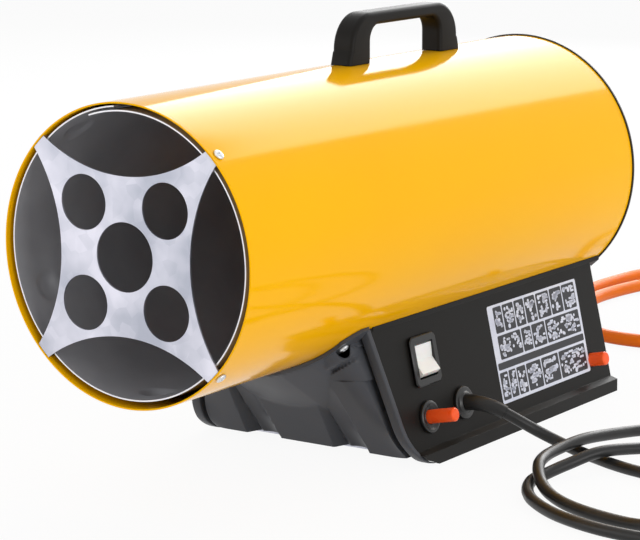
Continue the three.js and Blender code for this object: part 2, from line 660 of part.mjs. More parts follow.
const outerBlock = solid(alongY(baseProfile(0), frontReach, baseRear))
  .intersect(solid(alongX(sideOutline(shellThickness + fit), -flangeHalf - 1, flangeHalf + 1)));
const innerBlock = solid(alongY(baseProfile(baseWall), frontReach - 1, baseRear - baseWall).translate(0, 0, -1e-3))
  .add(solid(box(-flangeHalf + baseWall, flangeHalf - baseWall, frontReach - 1, baseRear - baseWall, -1, 1)));
const saddleTop = axisHeight - casingRadius * 0.69;
const saddleLow = saddleTop - 20;
const saddleFront = rimY(axisHeight - casingRadius * 0.7) + shellThickness + fit;
const saddleRear = casingRear - 1;
const saddleX = panelHalf(saddleTop) + 1;
const bossSpots = [-1, 1].flatMap((side) => [-1, 1].map((end) => [side * (footHalf - baseWall - 4), end * (baseRear - 48)]));
const boss = ([x, y]) => solid(alongZ(new THREE.Shape().absarc(x, y, bossRadius, 0, 2 * Math.PI, false),
  plateThickness + fit, plateThickness + 13));
const bossHole = ([x, y]) => solid(alongZ(new THREE.Shape().absarc(x, y, screwShank + fit, 0, 2 * Math.PI, false),
  -1, plateThickness + 10));
// Cuts through the control panel, made in the panel's own frame and then set in place.
const panelMatrix = new THREE.Matrix4().makeRotationY(-panelTilt).setPosition(footHalf, 0, ledgeHeight);
const onPanel = (geometry) => solid(geometry.applyMatrix4(panelMatrix));
const upPanel = (height) => (height - ledgeHeight) / Math.cos(panelTilt);
const panelBore = (radius, along, height) => onPanel(pointingX(rod(radius, -baseWall - 2, 2, 18))
  .translate(0, along, upPanel(height)));
const neckLength = rockerLength + 2.6;
const neckHeight = rockerHeight + 2.6;
const switchCut = onPanel(box(-baseWall - 2, 2, switchAlong - neckLength / 2 - fit, switchAlong + neckLength / 2 + fit,
  upPanel(switchHeight) - neckHeight / 2 - fit, upPanel(switchHeight) + neckHeight / 2 + fit));
const [collarNeck, glandNeck, inletNeck] = [9.4, 8, 6.5];
const inletBore = solid(rod(inletNeck + fit, baseRear - 8, baseRear + 4, 16).translate(inletAcross, 0, inletHeight));
part(heater, "base_housing", joined([
  outerBlock.subtract(innerBlock),
  ...bossSpots.map(boss),
  saddleBand(saddleFront + 8, saddleRear, saddleX - 14, saddleX, saddleLow, saddleTop),
  saddleBand(saddleFront + 8, saddleRear, -saddleX, -saddleX + 14, saddleLow, saddleTop),
]).subtract(joined([
  casingClear,
  ...bossSpots.map(bossHole),
  switchCut,
  panelBore(collarNeck + fit, igniterAlong, igniterHeight),
  panelBore(glandNeck + fit, glandAlong, glandHeight),
  panelBore(gasButtonRadius + slip, gasButtonAlong, gasButtonHeight),
  inletBore,
  ...rearScrewAngles.map((angle) => solid(radial(rod(screwShank + fit, casingRadius - 4, casingRadius + 8, 10),
    angle, rearScrewY).translate(0, 0, axisHeight))),
])), blackPlastic);
const seatOnSaddle = saddle + saddleFlange + fit;
parts(barrel, "housing_screw", rearScrewAngles.map((angle) =>
  solid(radial(screw(seatOnSaddle, casingBore - 4), angle, rearScrewY))), zincScrew);

// ---- front shell: lobed face, rims down both sides, lip along the casing

const rimHalf = (height) => panelHalf(Math.max(height, ledgeHeight)) + rimFlare;

// The lip's front edge along the casing: bowed in the middle, rounded at the corners.
function lipY(across) {
  const corner = baseFront - shellLip;
  if (across > lipSpan) return corner + 19 * ((across - lipSpan) / 9.5) ** 2;
  return corner - lipBow * Math.min(38, lipSpan - 2 - across);
}

function shellY(x, height) {
  const rim = rimY(height);
  const across = Math.abs(x);
  const inner = rimHalf(height) - rimBand;
  const open = height < channelTop;
  const lobeEdge = inner - (open ? channelWidth : 1);
  if (across > inner) return rim;
  if (across > lobeEdge) return rim + (open ? channelDepth : shellThickness);
  const plane = baseFront - shellFoot - shellLean * (height - shellBottom);
  const corner = Math.min(1, (lobeEdge - across) / (open ? 14 : 24));
  const turnBack = 1 - Math.sqrt(1 - (1 - corner) ** 2);
  const fade = Math.max(0, 1 - height / grooveTop);
  const inGroove = Math.max(0, 1 - ((across - grooveOffset) / (grooveHalf * (0.45 + 0.55 * fade ** 0.5))) ** 2);
  const face = plane + (rim - plane) * turnBack + lobeDepth * fade * inGroove ** 1.5;
  const lipGap = Math.hypot(x, height - axisHeight) - casingRadius;
  const lip = lipY(across) + Math.max(0, lipGap - 3) * 1.6;
  return across < lipSpan - 20 ? Math.min(face, lip) : face;
}

function shellColumns(height) {
  const half = rimHalf(height);
  const inner = half - rimBand;
  const lobeEdge = inner - (height < channelTop ? channelWidth : 1);
  const groove = [0, 0.55, 0.72, 0.87, 1, 1.13, 1.28].map((share) => share * grooveOffset);
  const corner = [13, 5, 0.3].map((step) => lobeEdge - step);
  const right = [...groove, ...corner, lobeEdge + 0.3, inner - 0.3, inner + 0.3, half];
  return [...right.slice(1).map((x) => -x).reverse(), ...right];
}
const columns = shellColumns(0).length;
function shellGrid(extra) {
  const points = [];
  for (const row of shellRows) {
    for (let column = 0; column < columns; column++) {
      const inRim = Math.min(column, columns - 1 - column) < 2;
      const foot = inRim ? rimFoot : shellBottom;
      const height = foot + (buried - foot) * row;
      const x = shellColumns(height)[column];
      points.push([x, shellY(x, height) + extra, height]);
    }
  }
  return points;
}
const rows = shellRows.length;
const shellPoints = [...shellGrid(0), ...shellGrid(shellThickness)];
const shellTriangles = [];
const shellAt = (i, j, back) => back * rows * columns + i * columns + j;
const shellQuad = (a, b, c, d) => shellTriangles.push(a, b, c, a, c, d);
for (let i = 0; i < rows - 1; i++) {
  for (let j = 0; j < columns - 1; j++) {
    shellQuad(shellAt(i, j, 0), shellAt(i, j + 1, 0), shellAt(i + 1, j + 1, 0), shellAt(i + 1, j, 0));
    shellQuad(shellAt(i, j, 1), shellAt(i + 1, j, 1), shellAt(i + 1, j + 1, 1), shellAt(i, j + 1, 1));
  }
  shellQuad(shellAt(i, 0, 0), shellAt(i + 1, 0, 0), shellAt(i + 1, 0, 1), shellAt(i, 0, 1));
  shellQuad(shellAt(i, columns - 1, 0), shellAt(i, columns - 1, 1), shellAt(i + 1, columns - 1, 1),
    shellAt(i + 1, columns - 1, 0));
}
for (let j = 0; j < columns - 1; j++) {
  shellQuad(shellAt(0, j, 0), shellAt(0, j, 1), shellAt(0, j + 1, 1), shellAt(0, j + 1, 0));
  shellQuad(shellAt(rows - 1, j, 0), shellAt(rows - 1, j + 1, 0), shellAt(rows - 1, j + 1, 1), shellAt(rows - 1, j, 1));
}
const shellGeometry = new THREE.BufferGeometry();
shellGeometry.setAttribute("position", new THREE.Float32BufferAttribute(shellPoints.flat(), 3));
shellGeometry.setIndex(shellTriangles);
const tabRear = saddleFront - fit - 1;
function lipFlange(side) {
  const edge = [46, 54, 62, 69, 72, 75, 77, 79];
  const plan = [...edge.map((across) => [side * across, lipY(across)]), [side * 79, tabRear], [side * 46, tabRear]];
  return solid(tube(saddle + saddleFlange, saddle, casingFront, casingRear, round).translate(0, 0, axisHeight))
    .intersect(solid(alongZ(plan, saddleLow - 12, axisHeight - casingRadius / 2)));
}
part(heater, "front_shell", joined([
  solid(shellGeometry),
  lipFlange(1),
  lipFlange(-1),
]).subtract(joined([
  casingClear,
  ...shellScrewAngles.map((angle) => solid(radial(rod(screwShank + fit, casingRadius - 4, casingRadius + 8, 10),
    angle, shellScrewY).translate(0, 0, axisHeight))),
  ...shellScrewAngles.map((angle) => solid(radial(rod(6.5, saddle + saddleFlange, casingRadius + 30, 16),
    angle, shellScrewY).translate(0, 0, axisHeight))),
])), greyPlastic);
parts(barrel, "shell_screw", shellScrewAngles.map((angle) =>
  solid(radial(screw(seatOnSaddle, casingBore - 4), angle, shellScrewY))), zincScrew);

// ---- bottom plate with flush screws

const plateHalf = flangeHalf - baseWall - slip;
const plateOutline = [[-plateHalf, baseFront + plateInset], [plateHalf, baseFront + plateInset],
  [plateHalf, baseRear - baseWall - slip], [-plateHalf, baseRear - baseWall - slip]];
const countersunk = (radius, from, to, grow) => lathe([[0, from], [radius + 2.2 + grow, from],
  [radius + grow, from + 1.6], [radius + grow, to], [0, to]], 10).rotateX(Math.PI / 2);
const plateScrew = ([x, y], grow, from, to) => solid(countersunk(screwShank, from, to, grow).translate(x, y, 0));
part(heater, "base_plate", solid(alongZ(plateOutline, 0, plateThickness))
  .subtract(joined(bossSpots.map((spot) => plateScrew(spot, fit, -0.01, plateThickness + 2)))), galvanised);
parts(heater, "base_screw", bossSpots.map((spot) => plateScrew(spot, 0, 0.1, plateThickness + 9)), zincScrew);

// ---- rocker switch

const bezelRise = fit + bezelThickness;
const openLength = rockerLength + 2 * fit;
const openHeight = rockerHeight + 2 * slip;
const frameOutline = (length, height, chamfer) => new THREE.Shape([
  [-length / 2 + chamfer, -height / 2], [length / 2 - chamfer, -height / 2], [length / 2, -height / 2 + chamfer],
  [length / 2, height / 2 - chamfer], [length / 2 - chamfer, height / 2], [-length / 2 + chamfer, height / 2],
  [-length / 2, height / 2 - chamfer], [-length / 2, -height / 2 + chamfer],
].map(([u, v]) => new THREE.Vector2(u, v)));
const bezelPlate = alongX(frameOutline(bezelLength, bezelHeight, 3), fit + 1, bezelRise - 0.8, {
  bevelEnabled: true, bevelThickness: 0.8, bevelSize: 0.8, bevelOffset: -0.8, bevelSegments: 1,
}).translate(0, 0, 0);
const rockerPivot = -3;
const switchGroup = new THREE.Group();
switchGroup.position.set(0, switchAlong, upPanel(switchHeight));
panel.add(switchGroup);
part(switchGroup, "switch_bezel", joined([
  solid(bezelPlate),
  solid(box(-baseWall, fit + 1.5, -neckLength / 2, neckLength / 2, -neckHeight / 2, neckHeight / 2)),
]).subtract(solid(box(-baseWall - 1, bezelRise + 1, -openLength / 2, openLength / 2, -openHeight / 2, openHeight / 2))),
blackPlastic);
part(switchGroup, "switch_body", joined([
  solid(box(-26, -baseWall - fit, -neckLength / 2, neckLength / 2, -neckHeight / 2, neckHeight / 2)),
  ...[-8, 0, 8].map((y) => solid(box(-34, -25, y - 0.4, y + 0.4, -3, 3))),
]).subtract(solid(box(-15, -baseWall, -openLength / 2, openLength / 2, -openHeight / 2, openHeight / 2))), blackPlastic);
const reach = rockerHeight / 2;
const rockerShape = new THREE.Shape();
const endAngle = degrees(32);
rockerShape.moveTo(reach * 0.5 * Math.cos(-Math.PI / 2 + 0.6) - 2, -reach * 0.6);
rockerShape.absarc(0, 0, reach, -Math.PI / 2 + 0.1, -Math.PI / 2 + endAngle, false);
rockerShape.lineTo(3.6, 0);
rockerShape.lineTo(reach * Math.sin(endAngle), reach * Math.cos(endAngle));
rockerShape.absarc(0, 0, reach, Math.PI / 2 - endAngle, Math.PI / 2 - 0.1, false);
rockerShape.lineTo(reach * 0.5 * Math.cos(-Math.PI / 2 + 0.6) - 2, reach * 0.6);
const rockerTurn = new THREE.Matrix4().makeBasis(axisX, axisZ, axisY.clone().negate());
const rockerSolid = solid(drawn(rockerShape, rockerLength).applyMatrix4(rockerTurn).translate(0, rockerLength / 2, 0));
const rocker = part(switchGroup, "rocker", rockerSolid, whitePlastic);
rocker.position.x = rockerPivot;
rocker.rotation.y = -rockerTilt;

// ---- piezo igniter

const igniterGroup = new THREE.Group();
igniterGroup.position.set(0, igniterAlong, upPanel(igniterHeight));
panel.add(igniterGroup);
const slide = (radius) => radius + slip;
part(igniterGroup, "igniter_collar", solid(pointingX(lathe([
  [slide(igniterRadius), -baseWall], [collarNeck, -baseWall], [collarNeck, fit], [collarRadius, fit],
  [collarRadius, fit + collarThickness * 0.6], [collarRadius - 2, fit + collarThickness],
  [slide(igniterRadius) + 1, fit + collarThickness], [slide(igniterRadius), fit + collarThickness - 1],
  [slide(igniterRadius), -baseWall],
], 16))), blackPlastic);
const igniterSkirt = 12; // button length inside the panel
const igniterWell = igniterSkirt + igniterTravel + 2;
part(igniterGroup, "igniter_body", solid(pointingX(lathe([
  [0, -igniterWell - 14], [4, -igniterWell - 14], [4, -igniterWell - 6], [collarNeck, -igniterWell - 4],
  [collarNeck, -baseWall - fit], [slide(igniterRadius), -baseWall - fit], [slide(igniterRadius), -igniterWell],
  [0, -igniterWell],
], 12))), blackPlastic);
const buttonCap = (radius, skirt, proud) => solid(pointingX(lathe([
  [0, -skirt], [radius, -skirt], [radius, proud - 2], [radius * 0.86, proud - 0.6], [radius * 0.6, proud], [0, proud],
], 20)));
part(igniterGroup, "igniter_button", buttonCap(igniterRadius, igniterSkirt, igniterProud), redPlastic);

// ---- gas valve and its push button

const valveGroup = new THREE.Group();
valveGroup.position.set(0, gasButtonAlong, upPanel(gasButtonHeight));
panel.add(valveGroup);
const buttonSkirt = 6;
const stemRadius = 2.4;
const stemEnd = 22;
const valveDepth = 36;
const valveHalf = 15;
const valveMiddle = -(baseWall + fit + valveDepth) / 2;
part(valveGroup, "gas_valve", joined([
  solid(box(-valveDepth, -baseWall - fit, -valveHalf, valveHalf, -13, 13)),
  solid(rod(gasPipe + 3, -valveHalf - 9, -valveHalf + 1, 12).translate(valveMiddle, 0, 0)),
  solid(pointingX(rod(gasPipe + 3, -valveDepth - 8, -valveDepth + 1, 12))),
]).subtract(joined([
  solid(pointingX(rod(slide(gasButtonRadius), -buttonSkirt - gasButtonTravel - 2, -baseWall + 1, 20))),
  solid(pointingX(rod(slide(stemRadius), -stemEnd - gasButtonTravel - 2, -baseWall, 12))),
  solid(rod(gasPipe + fit, -valveHalf - 10, -valveHalf - 3, 12).translate(valveMiddle, 0, 0)),
  solid(pointingX(rod(gasPipe + fit, -valveDepth - 9, -valveDepth - 3, 12))),
])), castAluminium);
part(valveGroup, "gas_button", buttonCap(gasButtonRadius, buttonSkirt, gasButtonProud)
  .add(solid(pointingX(rod(stemRadius, -stemEnd, -buttonSkirt + 1, 12)))), redPlastic);

// ---- gas inlet at the back, and the pipes inside

function pipe(points, radius, facets, steps) {
  const curve = new THREE.CatmullRomCurve3(points.map((p) => new THREE.Vector3(...p)), false, "catmullrom", 0.5);
  const section = new THREE.Shape().absarc(0, 0, radius, 0, 2 * Math.PI, false);
  return new THREE.ExtrudeGeometry(section, { steps, extrudePath: curve, bevelEnabled: false, curveSegments: facets / 2 });
}
const flat = (x, y, z) => new THREE.Vector3(x, y, z).applyMatrix4(panelMatrix).toArray();
const valveOut = flat(valveMiddle, gasButtonAlong - valveHalf, upPanel(gasButtonHeight));
const valveIn = (reachIn) => flat(-valveDepth - reachIn, gasButtonAlong, upPanel(gasButtonHeight));
const inletInside = baseRear - baseWall - 14;
part(heater, "gas_inlet", joined([
  solid(rod(inletNeck, inletInside, baseRear + 22, 16)),
  turned([[0, baseRear + fit], [10.5, baseRear + fit], [10.5, baseRear + 8], [0, baseRear + 8]], 6),
]).subtract(joined([
  solid(rod(gasPipe + fit, inletInside - 1, inletInside + 7, 12)),
  solid(rod(3, baseRear + 12, baseRear + 23, 12)),
])), brass).position.set(inletAcross, 0, inletHeight);
part(heater, "inlet_pipe", solid(pipe([
  valveIn(3.5), valveIn(9), valveIn(17), [inletAcross + 20, gasButtonAlong - 7, (valveIn(0)[2] + inletHeight) / 2 - 4],
  [inletAcross + 4, gasButtonAlong - 6, inletHeight - 5], [inletAcross, gasButtonAlong, inletHeight],
  [inletAcross, inletInside - 2, inletHeight], [inletAcross, inletInside + 6.5, inletHeight],
], gasPipe, 6, 16)), copper);
part(heater, "burner_pipe", solid(pipe([
  [0, nozzleRear - 6.5, axisHeight], [0, nozzleRear + 6, axisHeight], [0, pipeY - 6, axisHeight - 4],
  [0, pipeY, axisHeight - 16], [0, pipeY, axisHeight - casingRadius * 0.57], [0, pipeY, axisHeight - casingRadius - 4],
  [3, pipeY + 8, valveOut[2] + 22], [18, pipeY + 34, valveOut[2] + 6],
  [valveOut[0] - 16, valveOut[1] - 56, valveOut[2] + 1], [valveOut[0], valveOut[1] - 30, valveOut[2]],
  [valveOut[0], valveOut[1] - 20, valveOut[2]], [valveOut[0], valveOut[1] - 9, valveOut[2]],
  [valveOut[0], valveOut[1] - 3.5, valveOut[2]],
], gasPipe, 6, 28)), copper);

// ---- hose end at the inlet

const nutFront = baseRear + 8 + fit;
part(heater, "hose_nut", hexNut([[0, nutFront], [12, nutFront], [12, nutFront + 12], [9.6, nutFront + 15],
  [0, nutFront + 15]], inletNeck + fit), brass)
  .position.set(inletAcross, 0, inletHeight);
const hoseRadius = hoseDiameter / 2;
function ferrule(from, to) {
  const crimp = (to - from) / 8;
  const profile = [[0, from], [hoseRadius + 1.8, from]];
  for (let i = 2; i < 8; i += 2) {
    profile.push([hoseRadius + 1.8, from + i * crimp], [hoseRadius + 0.9, from + (i + 0.8) * crimp]);
  }
  profile.push([hoseRadius + 1.8, to], [0, to]);
  return lathe(profile, 12);
}
const ferruleStart = baseRear + 22 + fit;
const hoseStart = hoseRoute[0];
part(heater, "inlet_ferrule", solid(ferrule(nutFront + 15 + fit, hoseStart[1] - fit)).subtract(
  solid(rod(inletNeck + fit, nutFront, ferruleStart, 16))), galvanised)
  .position.set(inletAcross, 0, inletHeight);

// ---- cords: one unbroken tube each, measured against itself

function cord(route, diameter, facets, steps) {
  return solid(pipe(route, diameter / 2, facets, steps));
}

// The least gap between two stretches of a cord that are more than four diameters apart along it.
function leastGap(route, diameter) {
  const curve = new THREE.CatmullRomCurve3(route.map((p) => new THREE.Vector3(...p)), false, "catmullrom", 0.5);
  const length = curve.getLength();
  const points = curve.getSpacedPoints(Math.ceil(length / 3));
  const skip = Math.ceil((4 * diameter) / 3);
  let least = Infinity;
  points.forEach((point, i) => {
    for (let j = i + skip; j < points.length; j++) least = Math.min(least, point.distanceTo(points[j]));
  });
  return [length, least - diameter];
}
for (const [name, route, diameter] of [["mains lead", mainsRoute, mainsDiameter], ["gas hose", hoseRoute, hoseDiameter]]) {
  const [length, gap] = leastGap(route, diameter);
  console.log(`${name}: ${length.toFixed(0)} mm long, least gap to itself ${gap.toFixed(2)} mm`);
}
part(heater, "mains_cable", cord(mainsRoute, mainsDiameter, 8, 70), blackRubber);
part(heater, "gas_hose", cord(hoseRoute, hoseDiameter, 8, 50), orangeRubber);

// ---- cable gland and strain relief

const glandGroup = new THREE.Group();
glandGroup.position.set(0, glandAlong, upPanel(glandHeight));
panel.add(glandGroup);
const sleeveRadius = 6.2;
const glandNose = fit + 4.5;
part(glandGroup, "cable_gland", solid(pointingX(lathe([
  [0, -baseWall - 6], [glandNeck, -baseWall - 6], [glandNeck, fit], [glandRadius, fit], [glandRadius, fit + 2.2],
  [glandRadius - 1.5, fit + 3], [sleeveRadius + 2, fit + 3], [sleeveRadius + 1, glandNose], [0, glandNose],
], 16))), blackPlastic);

// A tapering round tube along a curve.
function taper(curve, from, to, facets, steps) {
  const frames = curve.computeFrenetFrames(steps, false);
  const points = [];
  const triangles = [];
  for (let i = 0; i <= steps; i++) {
    const centre = curve.getPointAt(i / steps);
    const radius = from + ((to - from) * i) / steps;
    for (let j = 0; j < facets; j++) {
      const turn = (2 * Math.PI * j) / facets;
      const point = centre.clone().addScaledVector(frames.normals[i], radius * Math.cos(turn))
        .addScaledVector(frames.binormals[i], radius * Math.sin(turn));
      points.push(...point.toArray());
    }
  }
  const [first, last] = [points.length / 3, points.length / 3 + 1];
  points.push(...curve.getPointAt(0).toArray(), ...curve.getPointAt(1).toArray());
  for (let j = 0; j < facets; j++) {
    const next = (j + 1) % facets;
    for (let i = 0; i < steps; i++) {
      const [a, b] = [i * facets + j, i * facets + next];
      triangles.push(a, b, b + facets, a, b + facets, a + facets);
    }
    triangles.push(first, next, j, last, steps * facets + j, steps * facets + next);
  }
  const geometry = new THREE.BufferGeometry();
  geometry.setAttribute("position", new THREE.Float32BufferAttribute(points, 3));
  geometry.setIndex(triangles);
  return solid(geometry);
}
const cordStart = new THREE.Vector3(...mainsRoute[0]);
const cordHeading = new THREE.Vector3(...mainsRoute[1]).sub(cordStart).normalize();
const sleeveStart = new THREE.Vector3(...flat(glandNose + fit, glandAlong, upPanel(glandHeight)));
const sleeveEnd = cordStart.clone().addScaledVector(cordHeading, -fit);
const outward = new THREE.Vector3(Math.cos(panelTilt), 0, Math.sin(panelTilt));
const sleeveCurve = new THREE.CubicBezierCurve3(sleeveStart, sleeveStart.clone().addScaledVector(outward, 9),
  sleeveEnd.clone().addScaledVector(cordHeading, -9), sleeveEnd);
part(heater, "strain_relief", taper(sleeveCurve, sleeveRadius, mainsDiameter / 2 + 0.8, 14, 6), blackRubber);

// ---- mains plug on the lead

const cordEnd = new THREE.Vector3(...mainsRoute.at(-1));
const plugGroup = new THREE.Group();
const plugAxis = cordEnd.clone().sub(new THREE.Vector3(...mainsRoute.at(-2))).normalize();
plugGroup.position.copy(cordEnd).addScaledVector(plugAxis, fit);
plugGroup.quaternion.setFromUnitVectors(axisY, plugAxis);
heater.add(plugGroup);
const [plugRadius, plugBoot, plugLength, pinRadius, pinLength, pinSpread] = [18.4, 28, 62, 2.4, 19, 19];
part(plugGroup, "plug_body", turned([
  [0, 0], [mainsDiameter / 2 + 1, 0], [8, plugBoot - 4], [12, plugBoot], [plugRadius - 2, plugBoot + 4],
  [plugRadius, plugBoot + 7], [plugRadius, plugLength - 8], [plugRadius - 1.2, plugLength - 7],
  [plugRadius - 1.2, plugLength], [0, plugLength],
], 18), blackRubber);
parts(plugGroup, "plug_pin", [-1, 1].map((side) => solid(lathe([
  [0, plugLength + fit], [pinRadius, plugLength + fit], [pinRadius, plugLength + pinLength - 1.5],
  [pinRadius * 0.5, plugLength + pinLength], [0, plugLength + pinLength],
], 12).translate((side * pinSpread) / 2, 0, 0))), brass);

// ---- gas regulator on the hose

const hoseEnd = hoseRoute.at(-1);
const regulator = new THREE.Group();
regulator.position.set(hoseEnd[0], hoseEnd[1], hoseEnd[2]);
heater.add(regulator);
const [bellRadius, outletHex, nutRadius, nutLength] = [28, 8.5, 13.6, 22];
const outletEnd = -fit - 24;
const bellCentre = outletEnd - fit - 12 - bellRadius;
const bellLow = -hoseEnd[2] + 0.6;
part(regulator, "outlet_ferrule", solid(ferrule(outletEnd, -fit)), galvanised);
const inletFace = bellCentre - bellRadius - 8;
part(regulator, "regulator_body", joined([
  solid(lathe([
    [0, bellLow], [bellRadius - 9, bellLow], [bellRadius - 3, bellLow + 6], [bellRadius, bellLow + 8],
    [bellRadius, bellLow + 14], [bellRadius - 3, bellLow + 15], [bellRadius - 8, bellLow + 21],
    [10, bellLow + 24], [10, bellLow + 27], [0, bellLow + 27],
  ], 20).rotateX(Math.PI / 2).translate(0, bellCentre, 0)),
  turned([[0, bellCentre + bellRadius - 8], [outletHex, bellCentre + bellRadius - 8], [outletHex, outletEnd - fit],
    [0, outletEnd - fit]], 6),
  turned([[0, inletFace - 10], [9, inletFace - 10], [9, inletFace - 6], [6, inletFace - 4],
    [6, bellCentre - bellRadius + 8], [0, bellCentre - bellRadius + 8]], 16),
]), castAluminium);
part(regulator, "bottle_nut", hexNut([
  [0, inletFace - nutLength], [nutRadius, inletFace - nutLength], [nutRadius, inletFace], [0, inletFace],
], 6 + slip).subtract(solid(rod(9 + slip, inletFace - nutLength - 1, inletFace - 3))), brass);
part(regulator, "regulator_knob", solid(lathe([
  [0, bellLow + 27 + fit], [12, bellLow + 27 + fit], [12, bellLow + 37], [10.5, bellLow + 40], [0, bellLow + 40],
], 16).rotateX(Math.PI / 2).translate(0, bellCentre, 0)), redPlastic);

export default heater;
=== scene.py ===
"""Looks of a portable gas forced air heater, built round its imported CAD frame.

Lengths are in millimetres and turned to metres where they reach Blender. The outlet faces -Y, the
controls face +X, and the floor is at zero.
"""

import math
import random

import bmesh
import bpy
from mathutils import Matrix, Quaternion, Vector


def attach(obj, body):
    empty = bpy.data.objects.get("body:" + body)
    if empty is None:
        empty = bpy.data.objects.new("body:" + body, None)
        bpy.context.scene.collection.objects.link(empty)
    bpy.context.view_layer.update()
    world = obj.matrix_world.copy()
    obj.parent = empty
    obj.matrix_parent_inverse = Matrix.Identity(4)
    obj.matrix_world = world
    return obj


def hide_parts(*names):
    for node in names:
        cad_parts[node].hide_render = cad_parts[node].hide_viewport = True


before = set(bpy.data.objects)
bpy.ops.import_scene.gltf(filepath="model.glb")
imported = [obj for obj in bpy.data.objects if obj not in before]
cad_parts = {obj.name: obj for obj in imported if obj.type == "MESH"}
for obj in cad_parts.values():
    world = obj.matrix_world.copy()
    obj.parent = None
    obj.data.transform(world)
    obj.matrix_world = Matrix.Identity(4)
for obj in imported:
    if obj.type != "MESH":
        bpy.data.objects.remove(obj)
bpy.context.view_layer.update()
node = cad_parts
MM = 0.001

# ---------------------------------------------------------------- sizes shared with the CAD source
FIT = 0.3  # air between touching pieces
AXIS_HEIGHT = 181
CASING_FRONT = -371
CASING_REAR = 159
CASING_RADIUS = 105
CASING_BORE = 103.8
SADDLE = CASING_RADIUS + FIT
CHAMBER_RADIUS = 99.3
CHAMBER_FRONT = CASING_FRONT + 2.6
CHAMBER_REAR = CHAMBER_FRONT + 280
BASE_FRONT = -144.5
PANEL_TILT = math.radians(12.5)
PANEL_FOOT = 96.8
LEDGE = 12
FAN_Y = 33
MOTOR_REAR = CASING_REAR - 5
MOTOR_FRONT = MOTOR_REAR - 68
SCREW_SHANK = 1.9
TRIM_LIP = 1.5

# ---------------------------------------------------------------- camera
CAMERA_AT = Vector((1.07512, -1.70904, 0.50042))
CAMERA_BACK = Vector((0.5547, -0.8105, 0.1884)).normalized()
CAMERA_ROLL = math.radians(-0.1594)

camera_data = bpy.data.cameras.new("camera")
camera_data.sensor_width = 36
camera_data.lens = 145.82
camera_data.clip_end = 50
camera = bpy.data.objects.new("camera", camera_data)
camera.rotation_mode = "QUATERNION"
camera.rotation_quaternion = (-CAMERA_BACK).to_track_quat("-Z", "Y") @ Quaternion((0, 0, 1), CAMERA_ROLL)
camera.location = CAMERA_AT
bpy.context.scene.collection.objects.link(camera)
bpy.context.scene.camera = camera


# ---------------------------------------------------------------- materials
def linear(hex_colour):
    """An sRGB hex colour as linear red, green, blue, alpha."""
    parts = [int(hex_colour[i : i + 2], 16) / 255 for i in (1, 3, 5)]
    return [*(c / 12.92 if c <= 0.04045 else ((c + 0.055) / 1.055) ** 2.4 for c in parts), 1]


def add(tree, kind, settings=None, **sockets):
    """Adds a node: settings are its attributes, sockets are values or the outputs linked to them."""
    made = tree.nodes.new(kind)
    for key, value in (settings or {}).items():
        setattr(made, key, value)
    for key, value in sockets.items():
        socket = made.inputs[int(key[1:])] if key[0] == "_" else made.inputs[key.replace("_", " ")]
        if isinstance(value, bpy.types.NodeSocket):
            tree.links.new(value, socket)
        else:
            socket.default_value = value
    return made


def finish(name, slot, colour, roughness, metallic=0.0, **sockets):
    """A principled material with its node tree; its slot is not used."""
    material = bpy.data.materials.new(name)
    material.use_nodes = True
    tree = material.node_tree
    shader = tree.nodes["Principled BSDF"]
    shader.inputs["Base Color"].default_value = linear(colour)
    shader.inputs["Roughness"].default_value = roughness
    shader.inputs["Metallic"].default_value = metallic
    for key, value in sockets.items():
        shader.inputs[key.replace("_", " ")].default_value = value
    return material, tree, shader


def grain(tree, shader, size, depth, rough, tones, patch=60, edge=0.0, detail=2.0):
    """Bump of a grain size in mm, roughness and tone that drift in larger patches, edges rounded off."""
    place = add(tree, "ShaderNodeTexCoord").outputs["Object"]
    fine = add(tree, "ShaderNodeTexNoise", Vector=place, Scale=1000 / size, Detail=detail)
    bump = add(tree, "ShaderNodeBump", Height=fine.outputs["Fac"], Distance=depth * MM, Strength=1.0)
    if edge:
        rounded = add(tree, "ShaderNodeBevel", {"samples": 6}, Radius=edge * MM)
        tree.links.new(rounded.outputs["Normal"], bump.inputs["Normal"])
    tree.links.new(bump.outputs["Normal"], shader.inputs["Normal"])
    drift = add(tree, "ShaderNodeTexNoise", Vector=place, Scale=1000 / patch, Detail=4.0)
    level = add(tree, "ShaderNodeMapRange", Value=drift.outputs["Fac"], _1=0.3, _2=0.7,
                _3=rough[0], _4=rough[1])
    tree.links.new(level.outputs["Result"], shader.inputs["Roughness"])
    share = add(tree, "ShaderNodeMapRange", Value=drift.outputs["Fac"], _1=0.3, _2=0.7)
    mix = add(tree, "ShaderNodeMix", {"data_type": "RGBA"}, _0=share.outputs["Result"],
              _6=linear(tones[0]), _7=linear(tones[1]))
    tree.links.new(mix.outputs[2], shader.inputs["Base Color"])


# Gloss enamel stoved on rolled steel: an even warm yellow, a broad soft shine, a very faint orange peel.
enamel, tree, shader = finish("yellow_enamel", "yellow_enamel", "#FFBA00", 0.1, Specular_IOR_Level=0.13,
                              Specular_Tint=linear("#FFD98C"))
grain(tree, shader, 2.2, 0.002, (0.09, 0.12), ("#FFB900", "#FFBC00"), patch=120)

